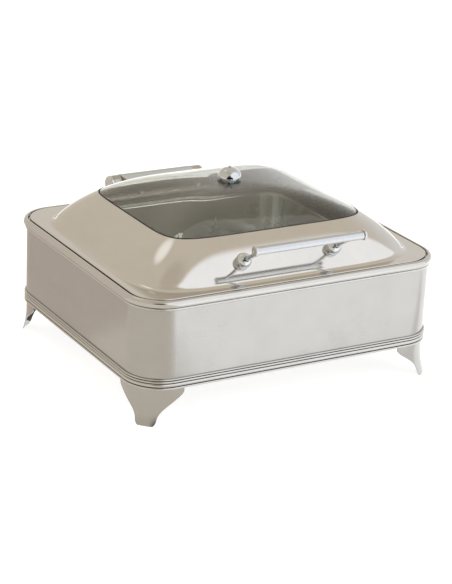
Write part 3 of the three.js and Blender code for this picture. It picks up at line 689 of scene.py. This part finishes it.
def glass_window():
    """Curved glass of one thickness, with a softened edge and a hole for the vent's stem."""
    crown = dome_height(0)
    hole = 0.005
    seat = 0.015
    edge_drop = 0.0006
    edge_inner = WINDOW_EDGE - 0.0015
    levels = [0.715, *spread(0.7, 0.24, 22), 0.2, 0.16, 0.12]
    upper = [dome_row(WINDOW_EDGE, -edge_drop), dome_row(edge_inner)]
    upper += [dome_row(level) for level in levels]
    upper += [circle_row(seat, crown), circle_row(hole, crown)]
    lower = [circle_row(hole, crown - GLASS_THICK), circle_row(seat, crown - GLASS_THICK)]
    lower += [dome_row(level, -GLASS_THICK) for level in reversed(levels)]
    lower += [dome_row(edge_inner, -GLASS_THICK), dome_row(WINDOW_EDGE, edge_drop - GLASS_THICK)]
    piece("window", loft(upper + lower, ring=True), "lid", GLASS, "glass_window")


# ---- Steam vent ----
def over_vent(shape):
    return moved(shape, Matrix.Translation((0, DOME_CENTRE_Y, 0)))


def vent_seat():
    """A flat disc on the glass with a stem down through it."""
    base = dome_height(0) + GAP
    stem = 0.0035
    radius = 0.013
    chamfer = 0.0012
    disc = [(0, SEAT_LOW.z), (stem, SEAT_LOW.z), (stem, base), (radius, base),
            (radius, SEAT_HIGH.z - chamfer / 2), (radius - chamfer, SEAT_HIGH.z),
            (0, SEAT_HIGH.z)]
    piece("vent_seat", over_vent(lathe(softened(disc, 0.0005, 3), 64)), "lid", CHROME)


def vent_cap():
    """A hemispherical cap with three steam slots round its skirt."""
    floor = VENT_LOW.z
    radius = (VENT_HIGH.x - VENT_LOW.x) / 2
    height = 0.013
    wall = 0.0016
    segments = 96
    slot_height = 0.003
    slot_half = math.radians(15)
    inside = arc(0, floor, radius - wall, height - wall, 90, 0, 10)
    outside = arc(0, floor, radius, height, 0, 84, 20)
    knob = [(0.0018, floor + height + 0.0012), (0.0013, VENT_HIGH.z - 0.0001), (0, VENT_HIGH.z)]
    points, faces = lathe([(0, floor + height - wall), *inside[1:], *outside, *knob], segments)
    cut = []
    for x, y, z in points:
        turn = math.atan2(y, x)
        near = min(abs(math.remainder(turn - math.radians(a), 2 * math.pi)) for a in VENT_SLOTS)
        low = z < floor + slot_height and near < slot_half
        cut.append((x, y, floor + slot_height if low else z))
    piece("vent_cap", over_vent((cut, faces)), "vent", CHROME, weld=2e-7)


def hex_nut(bore, flats, bottom, top):
    """A chamfered hexagon nut along Z; both radii are measured to the flats."""
    chamfer = (top - bottom) * 0.16
    rows = [circle(bore, bottom), circle(flats, bottom), hexagon(flats, bottom + chamfer),
            hexagon(flats, top - chamfer), circle(flats, top), circle(bore, top)]
    return loft(rows, ring=True)


def vent_nut():
    low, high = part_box("vent_nut")
    bore = 0.0038
    flats = 0.008
    piece("vent_nut", over_vent(hex_nut(bore, flats, low.z, high.z)), "lid", CHROME)


# ---- Handle ----
def stud_foot():
    """Where on the dome's front the studs stand, so that they point at the ball centres."""
    def points_in_front(y):
        height, normal = dome_side(y)
        return (BALL_CENTRE.y - y) * normal.z > (BALL_CENTRE.z - height) * normal.y

    return last_true(*STUD_SEARCH, points_in_front)


STUD_FOOT, STUD_NORMAL = dome_point(BALL_CENTRE.x, stud_foot())
POST_AXIS = Vector((BALL_CENTRE.x, BAR_CENTRE.y, BAR_CENTRE.z)) - BALL_CENTRE


def handle_ball():
    """A turned ball on its stud, with a drilled socket that the post goes into."""
    reach = (BALL_CENTRE - STUD_FOOT).length
    mouth = 0.0038
    bore = 0.0033
    bore_floor = 0.0042
    stud_radius = 0.0028
    stud_end = -0.011
    mouth_depth = math.sqrt(BALL_RADIUS ** 2 - mouth ** 2)
    seat_angle = math.degrees(math.asin((GAP - reach) / BALL_RADIUS))
    socket_angle = 90 - math.degrees(math.asin(mouth / BALL_RADIUS))
    sphere = arc(0, 0, BALL_RADIUS, BALL_RADIUS, -90, socket_angle - 2, 28)
    socket = [(0, -BALL_RADIUS), *sphere[1:], (mouth, mouth_depth - 0.0004),
              (bore, mouth_depth - 0.0009), (bore, bore_floor), (0, bore_floor)]
    ball = moved(lathe(socket, 64), pointing(BALL_CENTRE, POST_AXIS))
    seat_radius = BALL_RADIUS * math.cos(math.radians(max(seat_angle, -80)))
    collar_radius = seat_radius + 0.0003
    collar_top = GAP + 0.0011
    stud = [(0, stud_end), (stud_radius, stud_end), (stud_radius, GAP), (collar_radius, GAP),
            (collar_radius, GAP + 0.0007), (seat_radius, collar_top), (0, collar_top)]
    collar = moved(lathe(softened(stud, 0.0003, 2)), pointing(STUD_FOOT, STUD_NORMAL))
    pair("handle_ball", both(ball, collar), "lid", CHROME)


def handle_post():
    start = 0.0043
    end = POST_AXIS.length - BAR_RADIUS - GAP
    profile = [(0, start), (POST_RADIUS, start), (POST_RADIUS, end - 0.003),
               (POST_RADIUS + 0.0007, end - 0.001), (POST_RADIUS - 0.0004, end), (0, end)]
    post = lathe(softened(profile, 0.0005, 3), 32)
    pair("handle_post", moved(post, pointing(BALL_CENTRE, POST_AXIS)), "lid", CHROME)


def handle_nut():
    bore = 0.0031
    flats = 0.0055
    height = 0.005
    nut = hex_nut(bore, flats, UNDER_LID - height, UNDER_LID)
    pair("handle_nut", moved(nut, pointing(STUD_FOOT, STUD_NORMAL)), "lid", CHROME)


def handle_bar():
    length = BAR_HIGH.x - BAR_LOW.x
    profile = softened([(0, 0), (BAR_RADIUS, 0), (BAR_RADIUS, length), (0, length)], 0.0004, 3)
    start = (BAR_LOW.x, BAR_CENTRE.y, BAR_CENTRE.z)
    piece("handle_bar", moved(lathe(profile, 64), pointing(start, ALONG)), "lid", ALUMINIUM)


def handle_end_cap():
    radius = (CAP_HIGH.z - CAP_LOW.z) / 2
    thick = CAP_HIGH.x - CAP_LOW.x
    chamfer = 0.001
    dimple = 0.0022
    dimple_depth = 0.0004
    profile = [(0, 0), (radius - 0.0004, 0), (radius, 0.0005), (radius, thick - chamfer),
               (radius - chamfer, thick), (dimple, thick),
               (dimple - dimple_depth, thick - dimple_depth), (0, thick - dimple_depth)]
    start = (CAP_LOW.x, BAR_CENTRE.y, BAR_CENTRE.z)
    shape = moved(lathe(softened(profile, 0.0003, 3), 56), pointing(start, ALONG))
    pair("handle_end_cap", shape, "lid", CHROME)


# ---- Body ----
def swept(section):
    """A closed section of (offset from the wall face, height) points run round the body."""
    return loft([body_outline(offset, z) for offset, z in section], ring=True)


def body_skirt():
    """The sheet wall with its hem turned in at the bottom."""
    low, high = SKIRT_LOW.z, SKIRT_HIGH.z
    hem = 0.014
    section = [(0, low), (0, high), (-SHEET, high), (-SHEET, low + SHEET),
               (-hem, low + SHEET), (-hem, low)]
    shape = swept(softened(section, 0.0005, 3, closed=True))
    piece("body_skirt", shape, "stand", WALL_STEEL, flat_walls=True)


def top_rim():
    """A fine lower bead and the broad rolled edge over it."""
    low, high = RIM_LOW.z, RIM_HIGH.z
    overhang = RIM_HIGH.x - HALF_X
    inner = -0.0015
    bead = 0.0016
    middle = (high + low + 2 * bead) / 2
    section = [(inner, low), *arc(bead / 2, low + bead, bead, bead, -90, 78, 12),
               *arc(0, middle, overhang, high - middle, -82, 90, 26),
               (inner + 0.0006, high), (inner + 0.0002, high - 0.0002), (inner, high - 0.0006)]
    piece("top_rim", swept(section), "stand", GROOVED_STEEL, flat_walls=True)


def base_moulding():
    """Four half-round ribs of different heights, one over the other."""
    ribs = (0.0030, 0.0037, 0.0053, 0.0036)
    groove = 0.0007
    proud = 0.0019
    groove_half = 0.00035
    top = MOULDING_HIGH.z + groove_half
    section = [(GAP, top - groove_half)]
    for height in ribs:
        section += arc(groove, top - height / 2, proud, height / 2 - groove_half, 90, -90, 10)
        top -= height
    section.append((GAP, top + groove_half))
    piece("base_moulding", swept(section), "stand", GROOVED_STEEL, flat_walls=True)


def deck_frame():
    """A plate with a hole for the water pan and an edge folded down all round."""
    outer = DECK_HIGH.x - HALF_X
    top, lip = DECK_HIGH.z, DECK_LOW.z
    edge = 0.0004
    half_x, half_y, corner = 0.1725, 0.158, 0.030

    def hole(offset, z):
        return rounded_rectangle(
            half_x + offset, half_y + offset, corner + offset, DOME_CENTRE_Y, z)

    rows = [body_outline(outer - edge, top), hole(edge, top), hole(0, top - edge),
            hole(0, top - SHEET), body_outline(outer - SHEET, top - SHEET),
            body_outline(outer - SHEET, lip), body_outline(outer, lip),
            body_outline(outer, top - edge)]
    piece("deck_frame", loft(rows, ring=True), "stand", BRUSHED, flat_walls=True)


# ---- Feet ----
FOOT_THICK = 0.0018
FOOT_TOP_HALF = 0.051
FOOT_SHOULDER = 0.045
FOOT_TIP_HALF = 0.0134
FOOT_TIP_START = 0.004
FOOT_TIP_ROUND = 0.007
FOOT_TIP_ROUNDING = 0.004
FOOT_CURVE = 2.2
FOOT_INSET = 0.0004
FOOT_FLARE = 0.006
FOOT_FLARE_HEIGHT = 0.036
FOOT_TAB = 0.012
FOOT_COLUMNS = 40


def foot_around(along, offset):
    """A point at a distance along the corner's outline, pushed out by an offset."""
    centre = Vector((HALF_X - CORNER, HALF_Y - CORNER))
    half_arc = CORNER * math.pi / 4
    bent = max(-half_arc, min(half_arc, along))
    straight = along - bent
    turn = bent / CORNER + math.pi / 4
    radius = CORNER + offset
    return (centre.x + radius * math.cos(turn) + min(0, -straight),
            centre.y + radius * math.sin(turn) + min(0, straight))


def foot_half_width(z):
    """Half the foot's width at a height: it widens in an S curve and is rounded at the tip."""
    drop = max(0.0, 1 - z / FOOT_TIP_ROUND)
    climb = max(0.0, min(1.0, (z - FOOT_TIP_START) / (FOOT_SHOULDER - FOOT_TIP_START)))
    widening = math.sin(math.pi / 2 * climb ** FOOT_CURVE)
    return (FOOT_TIP_HALF + (FOOT_TOP_HALF - FOOT_TIP_HALF) * widening
            - FOOT_TIP_ROUNDING * drop ** 2)


def foot_flare(z):
    return FOOT_FLARE * max(0.0, 1 - z / FOOT_FLARE_HEIGHT) ** 2 - FOOT_INSET


def foot(name, sign_x, sign_y):
    """A bracket foot: wide wings under the moulding that narrow to a rounded, flared tip."""
    top = FOOT_HIGH.z

    def row(z, half, offset):
        spots = [half * (2 * i / FOOT_COLUMNS - 1) for i in range(FOOT_COLUMNS + 1)]
        return [(*foot_around(along, offset), z) for along in spots]

    heights = [0, 0.0004, 0.001, 0.002, 0.003, 0.0045, *spread(0.006, FOOT_SHOULDER, 26), 0.047]
    outer = [row(z, foot_half_width(z), foot_flare(z)) for z in heights]
    inner = [row(z, foot_half_width(z), foot_flare(z) - FOOT_THICK) for z in heights]
    outer.append(row(top, FOOT_TOP_HALF, foot_flare(top)))
    inner.append(row(top - FOOT_THICK, FOOT_TOP_HALF, foot_flare(top) - FOOT_THICK))
    outer.append(row(top, FOOT_TOP_HALF, -FOOT_TAB))
    inner.append(row(top - FOOT_THICK, FOOT_TOP_HALF, -FOOT_TAB))
    loops = [near + far[::-1] for near, far in zip(outer, inner)]
    shape = mirrored(loft(loops, ring=False), sign_x, sign_y)
    piece(name, shape, "stand", WALL_STEEL, bevel=0.0003)


# ---- Screws and rivets ----
HEAD_HEIGHT = 0.0022


def screw(name, direction):
    """A socket screw as long as its CAD box, with its head at the end the direction points to."""
    low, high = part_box(name)
    direction = Vector(direction)
    length = abs((high - low).dot(direction))
    start = (low + high) / 2 + direction * (length / 2 - HEAD_HEIGHT)
    head = 0.004
    shank = 0.002
    key = 0.00168
    crown = arc(0, HEAD_HEIGHT * 0.35, head, HEAD_HEIGHT * 0.65, 0, 62, 8)
    rows = [circle(shank, HEAD_HEIGHT - length), circle(shank, 0), circle(head, 0)]
    rows += [circle(radius, z) for radius, z in crown]
    rows += [circle(key * 1.25, HEAD_HEIGHT), hexagon(key, HEAD_HEIGHT - 0.0002),
             hexagon(key, HEAD_HEIGHT * 0.3)]
    shape = loft(rows, ring=False)
    piece(name, moved(shape, pointing(start, direction)), "stand", CHROME)


def leaf_rivet():
    """A domed head on the hinge leaf and a flared tail under the lid."""
    outside = 2 * GAP + LEAF_THICK
    tail = UNDER_LID - 0.0016
    shank = 0.0021
    profile = [(0, tail), (0.003, tail), (0.005, UNDER_LID), (shank, UNDER_LID),
               (shank, outside), (0.0044, outside), (0.0036, outside + 0.0014),
               (0.0016, outside + HEAD_HEIGHT), (0, outside + HEAD_HEIGHT)]
    rivet = lathe(softened(profile, 0.0008, 4), 40)
    pair("leaf_rivet", moved(rivet, pointing(*dome_point(RIVET_X, RIVET_Y))), "lid", CHROME)


# ---- Hinge ----
def barrel(profile, start, segments=64):
    """A profile of (radius, distance from start) turned round the hinge line."""
    return moved(lathe(profile, segments), pointing((start, HINGE_Y, HINGE_Z), ALONG))


def tube(inner, outer, length, edge=0.0004):
    """A closed profile for a tube whose edges are rounded."""
    ring = [(inner, 0), (outer, 0), (outer, length), (inner, length)]
    rounded = softened(ring, edge, 3, closed=True)
    return [*rounded, rounded[0]]


def hinge_leaf():
    """The long moving barrel with the arm that is riveted to the back of the dome."""
    half = LEAF_HIGH.x
    bore = 0.0092
    roll = barrel(tube(bore, BARREL_RADIUS, 2 * half, 0.0006), -half, 72)
    front, back = 0.152, 0.167
    spots = spread(front, back, 5)
    under = [tuple(dome_point(0, y, GAP)[0].yz) for y in reversed(spots)]
    over = [tuple(dome_point(0, y, GAP + LEAF_THICK)[0].yz) for y in spots[1:]]
    arm_top = HINGE_Z + BARREL_RADIUS - 0.0005
    arm_bottom = arm_top - 0.0045
    outline = [*under, (front + 0.0006, arm_top - 0.0013), (front + 0.0026, arm_top),
               (HINGE_Y - 0.003, arm_top), (HINGE_Y - 0.006, arm_bottom),
               (front + 0.008, arm_bottom), *over]
    arm = extruded(outline, -half, half)
    piece("hinge_leaf", both(roll, arm), "lid", HINGE_STEEL, bevel=0.0003)


def hinge_bracket():
    """A folded upright screwed to the back wall, with a knuckle for the shaft."""
    inner, outer = KNUCKLE_LOW.x, KNUCKLE_HIGH.x
    wall = HALF_Y + GAP
    back = 0.202
    rim_clear = RIM_HIGH.y + 0.0005
    radius = 0.0125
    shoulder = HINGE_Z - 0.008
    outline = [(wall, 0.110), (wall + 0.003, 0.108), (back, 0.112), (back, 0.152),
               (HINGE_Y, 0.159), (HINGE_Y + 0.002, shoulder), (rim_clear, shoulder),
               (rim_clear, 0.1564), (wall, 0.1515)]
    arm = extruded(softened(outline, 0.0015, 4, closed=True), inner, outer)
    knuckle = barrel(tube(SHAFT_BORE, radius, outer - inner), inner)
    pair("hinge_bracket", both(arm, knuckle), "stand", BRUSHED, bevel=0.0004)


def hinge_cap():
    """A turned cap with a rounded shoulder and a shallow dimple in its face."""
    radius = (END_HIGH.z - END_LOW.z) / 2
    thick = END_HIGH.x - END_LOW.x
    dimple = 0.004
    dimple_depth = 0.0006
    profile = [(0, 0), (radius - 0.0003, 0), (radius, 0.0003), (radius, thick - 0.002),
               (radius - 0.0008, thick - 0.0006), (radius - 0.0024, thick), (dimple, thick),
               (dimple - dimple_depth, thick - dimple_depth), (0, thick - dimple_depth)]
    pair("hinge_cap", barrel(softened(profile, 0.0005, 3), END_LOW.x), "stand", CHROME)


def hinge_shaft():
    radius = (SHAFT_HIGH.z - SHAFT_LOW.z) / 2
    length = SHAFT_HIGH.x - SHAFT_LOW.x
    profile = softened([(0, 0), (radius, 0), (radius, length), (0, length)], 0.0005, 3)
    piece("hinge_shaft", barrel(profile, SHAFT_LOW.x, 48), "stand", SPRING)


def hinge_bushing():
    low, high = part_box("hinge_bushing_right")
    profile = tube(SHAFT_BORE, (high.z - low.z) / 2, high.x - low.x)
    pair("hinge_bushing", barrel(profile, low.x), "lid", NYLON)


def hinge_spring():
    """Round wire wound in open turns about the shaft."""
    turns = 6
    wire = 0.0011
    radius = 0.0072
    length = 0.060
    steps = turns * 40
    wire_sides = 10
    rows = []
    for i in range(steps + 1):
        turn = 2 * math.pi * turns * i / steps
        out = Vector((0, math.cos(turn), math.sin(turn)))
        centre = Vector((0, HINGE_Y, HINGE_Z)) + ALONG * length * (i / steps - 0.5) + out * radius
        rows.append([tuple(centre + out * x + ALONG * y)
                     for x, y, _ in circle(wire, 0, wire_sides)])
    piece("hinge_spring", loft(rows, ring=False), "lid", SPRING)


# ---- Pans ----
def nested(half_x, half_y, corner):
    """Makes a row of a pan from an outline, an inset into it and a height."""
    return lambda inset, z: (half_x - inset, half_y - inset, corner - inset, z)


def pan(name, rows, radius):
    """Rows of (half width, half depth, corner, height), bent round by the radius."""
    soft = softened(rows, radius, 5)
    loops = [rounded_rectangle(half_x, half_y, corner, DOME_CENTRE_Y, z)
             for half_x, half_y, corner, z in soft]
    piece(name, loft(loops, ring=False), name, PAN, flat_walls=True)


def water_pan():
    """The wide flange rests on the deck; the walls lean in to a floor with rounded edges."""
    floor = WATER_LOW.z
    flange = WATER_HIGH.z - 0.001
    edge = nested(WATER_HIGH.x, WATER_HIGH.y - DOME_CENTRE_Y, 0.040)
    wall = nested(0.1712, 0.1567, 0.028)
    pan("water_pan", [
        wall(0.0092, floor), wall(0.0032, floor + 0.004), wall(0, flange),
        edge(0, flange), edge(0, WATER_HIGH.z), wall(SHEET, WATER_HIGH.z),
        wall(0.0044, floor + 0.005), wall(0.0097, floor + SHEET)], 0.0006)


def food_pan():
    """A deeper pan with a rolled rim that rests on the water pan's flange."""
    floor = FOOD_LOW.z
    top = FOOD_HIGH.z
    ledge = top - 0.0048
    wall = nested(0.165, 0.1505, 0.036)
    rim = nested(FOOD_HIGH.x, FOOD_HIGH.y - DOME_CENTRE_Y, 0.043)
    pan("food_pan", [
        wall(0.0115, floor), wall(0.005, floor + 0.005), wall(0, ledge),
        rim(0.0015, ledge), rim(0, ledge + 0.0014), rim(0, top - 0.002),
        rim(0.0012, top - 0.0005), rim(0.003, top), rim(0.0115, top - 0.0008),
        wall(SHEET, top - 0.0022), wall(0.0062, floor + 0.006),
        wall(0.012, floor + SHEET)], 0.0012)


# ---- Burner rail and fuel holders ----
def burner_rail():
    """The channel keeps its CAD shape, holes and all, and gets rounded edges."""
    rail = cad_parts["burner_rail"]
    rail.data.materials.clear()
    rail.data.materials.append(BRUSHED)
    edge_radius(rail, 0.0003, 2)


def fuel_holder():
    """A spun cup with a flange that rests on the rail."""
    low, high = HOLDER_LOW.z, HOLDER_HIGH.z
    radius = 0.0395
    inside = radius - SHEET
    flange = (HOLDER_HIGH.x - HOLDER_LOW.x) / 2
    under = high - 0.0015
    floor_bend = 0.003
    profile = [(0, low), (radius - floor_bend, low), (radius, low + floor_bend), (radius, under),
               (flange, under), (flange, high), (inside, high), (inside, low + 0.0034),
               (inside - 0.0024, low + SHEET), (0, low + SHEET)]
    cup = lathe(softened(profile, 0.0005, 3), 80)
    shape = moved(cup, Matrix.Translation((HOLDER_X, 0, 0)))
    pair("fuel_holder", shape, "fuel_holder_SIDE", BRUSHED)


def snuffer_cover():
    """A flat lid for the fuel can, with a pivot ear and an upturned thumb tab."""
    bottom = COVER_LOW.z
    top = bottom + SHEET
    radius = 0.042
    ear_y = 0.046
    ear = 0.006
    joint = math.degrees(math.asin(ear / radius)) + 3
    outline = arc(0, 0, radius, radius, 90 + joint, 450 - joint, 72)
    outline += arc(0, ear_y, ear, ear, 0, 180, 16)
    disc = loft([[(HOLDER_X + x, y, z) for x, y in outline] for z in (bottom, top)], ring=False)
    tab_half = 0.008
    tab_top = bottom + 0.011
    tab_foot, tab_front, tab_back = 0.003 - radius, 0.0048 - radius, 0.006 - radius
    tab_outline = [(tab_foot, bottom + 0.0001), (tab_back, bottom + 0.0001), (tab_back, tab_top),
                   (tab_front, tab_top), (tab_front, top + 0.0002)]
    tab = extruded(tab_outline, HOLDER_X - tab_half, HOLDER_X + tab_half)
    pair("snuffer_cover", both(disc, tab), "snuffer_SIDE", BRUSHED, bevel=0.0003)


def snuffer_pivot():
    """A plain pin with a low domed head."""
    low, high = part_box("snuffer_pivot_right")
    middle = (low + high) / 2
    end = HEAD_HEIGHT - (high.z - low.z)
    shank_radius = 0.002
    head_radius = 0.0038
    profile = [(0, end), (shank_radius, end), (shank_radius, 0), (head_radius, 0),
               (head_radius, 0.001), (0.0024, HEAD_HEIGHT), (0, HEAD_HEIGHT)]
    pin = lathe(softened(profile, 0.0005, 3), 40)
    shape = moved(pin, Matrix.Translation((middle.x, middle.y, high.z - HEAD_HEIGHT)))
    pair("snuffer_pivot", shape, "fuel_holder_SIDE", CHROME)


# ---- Studio ----
def glowing_sheet(name, outline, z, colour, glow, strength, roughness=1.0):
    """A flat sheet of the studio that gives off an even light of its own."""
    mesh = bpy.data.meshes.new(name)
    mesh.from_pydata([(x, y, z) for x, y in outline], [], [tuple(range(len(outline)))])
    sheet = placed(name, mesh)
    material = bpy.data.materials.new(name)
    graph = Graph(material)
    graph.fill(graph.nodes["Principled BSDF"], {
        "Base Color": colour, "Roughness": roughness, "Specular IOR Level": 0,
        "Emission Color": glow, "Emission Strength": strength})
    mesh.materials.append(material)
    return sheet


def studio_floor():
    """A plain pale table, lit a little from within like a photographer's light table."""
    half = 20.0
    square = [(-half, -half), (half, -half), (half, half), (-half, half)]
    glowing_sheet("studio_floor", square, 0, (0.5, 0.5, 0.5), (1, 1, 0.995), 0.86, 0.9)


# Glow and outline of each card: beside the left wall, behind the body, at the edge of the left
# card, under the body (a dark painted shadow, the shade the body casts on the table) and along its
# front.
CARDS = {
    "left_card": ((0.86, 0.77, 0.66), [
        (-5.9, -5.9), (-1.3, -5.9), (-0.15, -0.8), (-0.15, -0.34), (-0.08, -0.3),
        (-0.08, -0.215), (-0.2, -0.215), (-0.232, -0.17), (-0.232, 0.08), (-5.9, 2.5)]),
    "rear_card": ((0.72, 0.62, 0.53), [
        (-0.232, 0.08), (-0.232, 0.19), (-0.15, 0.215), (0.3, 0.5), (0.3, 1.1), (-1, 5.9),
        (-5.9, 5.9), (-5.9, 2.5)]),
    "edge_card": ((0.93, 0.87, 0.79), [
        (-1.3, -5.9), (-0.5, -5.9), (-0.08, -0.8), (-0.08, -0.34), (-0.15, -0.34),
        (-0.15, -0.8)]),
    # A dark sheet under the body: painted shadow, seen in the mirror steel of the feet and
    # moulding
    "painted_shadow_card": ((0.12, 0.1, 0.08), [(-0.2, -0.165), (0.2, -0.165), (0.2, 0.2), (-0.2, 0.2)]),
    "front_card": ((1.05, 1.0, 0.95), [
        (-0.08, -0.3), (0.6, -0.3), (0.6, -0.215), (-0.08, -0.215)]),
}


def reflector_cards():
    """Cards just over the table that only mirrors see: they stand for parts of the room, and the
    dark one under the body is a painted shadow.
    """
    for name, (glow, outline) in CARDS.items():
        card = glowing_sheet(name, outline, 0.001, (0, 0, 0), glow, 1)
        card.visible_camera = False
        card.visible_diffuse = False
        card.visible_shadow = False
        card.visible_transmission = False


def area_light(name, location, target, size, power, colour):
    """A soft round lamp that lights the object and isn't seen in mirrors."""
    lamp = bpy.data.lights.new(name, "AREA")
    lamp.shape = "DISK"
    lamp.size = size
    lamp.energy = power
    lamp.color = colour
    made = placed(name, lamp)
    made.location = location
    made.rotation_euler = (Vector(target) - Vector(location)).to_track_quat("-Z", "Y").to_euler()
    made.visible_glossy = False


class Sky(Graph):
    """The room round the table, as tones that depend on the direction."""

    def __init__(self):
        world = bpy.data.worlds.new("studio")
        bpy.context.scene.world = world
        super().__init__(world)
        self.direction = self.node("ShaderNodeTexCoord", {}).outputs["Generated"]

    def towards(self, direction, low, high):
        """0 to 1 as the view turns to face a direction: low and high are cosines."""
        sockets = {0: self.direction, 1: direction}
        dot = self.node("ShaderNodeVectorMath", sockets, operation="DOT_PRODUCT")
        return self.ranged(dot.outputs["Value"], low, high, interpolation_type="SMOOTHSTEP")


def studio_room():
    """A warm and a neutral side, then patches of other tones laid over them.

    Each patch: the direction it lies in, cosines of its outer and inner edge, its colour.
    """
    sky = Sky()
    side = sky.towards((0.707, 0, -0.707), -0.2, 0.45)
    room = sky.mixed(side, (0.74, 0.665, 0.555), (0.88, 0.87, 0.85))
    patches = [
        ((0.50, -0.78, 0.36), 0.67, 0.75, (1.22, 1.22, 1.24)),
        ((-0.25, -0.27, 0.93), 0.9, 0.99, (0.63, 0.56, 0.46)),
        ((-0.2, 0.52, 0.83), 0.98, 0.999, (1.2, 1.15, 1.07)),
        ((-0.47, -0.81, 0.36), 0.93, 0.985, (0.1, 0.1, 0.1)),
    ]
    for direction, outer, inner, colour in patches:
        patch = sky.towards(Vector(direction).normalized(), outer, inner)
        room = sky.mixed(patch, room, colour)
    sky.fill(sky.nodes["Background"], {"Color": room})


def studio_lights():
    area_light("overhead", (0.2, -0.1, 2.4), (0, 0, 0.1), 2.6, 14, (1, 0.985, 0.96))
    area_light("key", (-0.12, 0.95, 2.1), (0, 0, 0.15), 0.42, 2.2, (1, 0.99, 0.97))
    area_light("front_fill", (1.2, -2.0, 1.0), (0, 0, 0.1), 1.2, 6, (1, 1, 1))


def camera():
    """Swung round the object, raised, set back and rolled a little about its own axis."""
    swing = Matrix.Rotation(math.radians(CAMERA_AZIMUTH), 4, "Z")
    tilt = Matrix.Rotation(math.radians(90 - CAMERA_ELEVATION), 4, "X")
    roll = Matrix.Rotation(math.radians(CAMERA_ROLL), 4, "Z")
    back = Matrix.Translation((0, 0, CAMERA_DISTANCE))
    made = placed("camera", bpy.data.cameras.new("camera"))
    made.matrix_world = Matrix.Translation(CAMERA_TARGET) @ swing @ tilt @ back @ roll
    made.data.lens = CAMERA_LENS
    made.data.sensor_width = CAMERA_SENSOR
    made.data.clip_start, made.data.clip_end = CAMERA_CLIP
    bpy.context.scene.camera = made


# ---- Build ----
camera()
studio_floor()
studio_room()
studio_lights()
reflector_cards()

lid_shell()
window_gasket()
glass_window()
vent_seat()
vent_cap()
vent_nut()
handle_bar()
handle_ball()
handle_post()
handle_nut()
handle_end_cap()

body_skirt()
top_rim()
base_moulding()
deck_frame()
for rear_or_front, sign_y in (("rear", 1), ("front", -1)):
    for side, sign in SIDES:
        foot(f"foot_{rear_or_front}_{side}", sign, sign_y)
        screw(f"foot_screw_{rear_or_front}_{side}", (0, 0, -1))

hinge_leaf()
hinge_shaft()
hinge_spring()
hinge_bracket()
hinge_cap()
hinge_bushing()
leaf_rivet()
for side, _ in SIDES:
    screw(f"bracket_screw_lower_{side}", (0, 1, 0))
    screw(f"bracket_screw_upper_{side}", (0, 1, 0))

water_pan()
food_pan()
burner_rail()
fuel_holder()
snuffer_cover()
snuffer_pivot()

bpy.context.scene.view_settings.view_transform = "Standard"
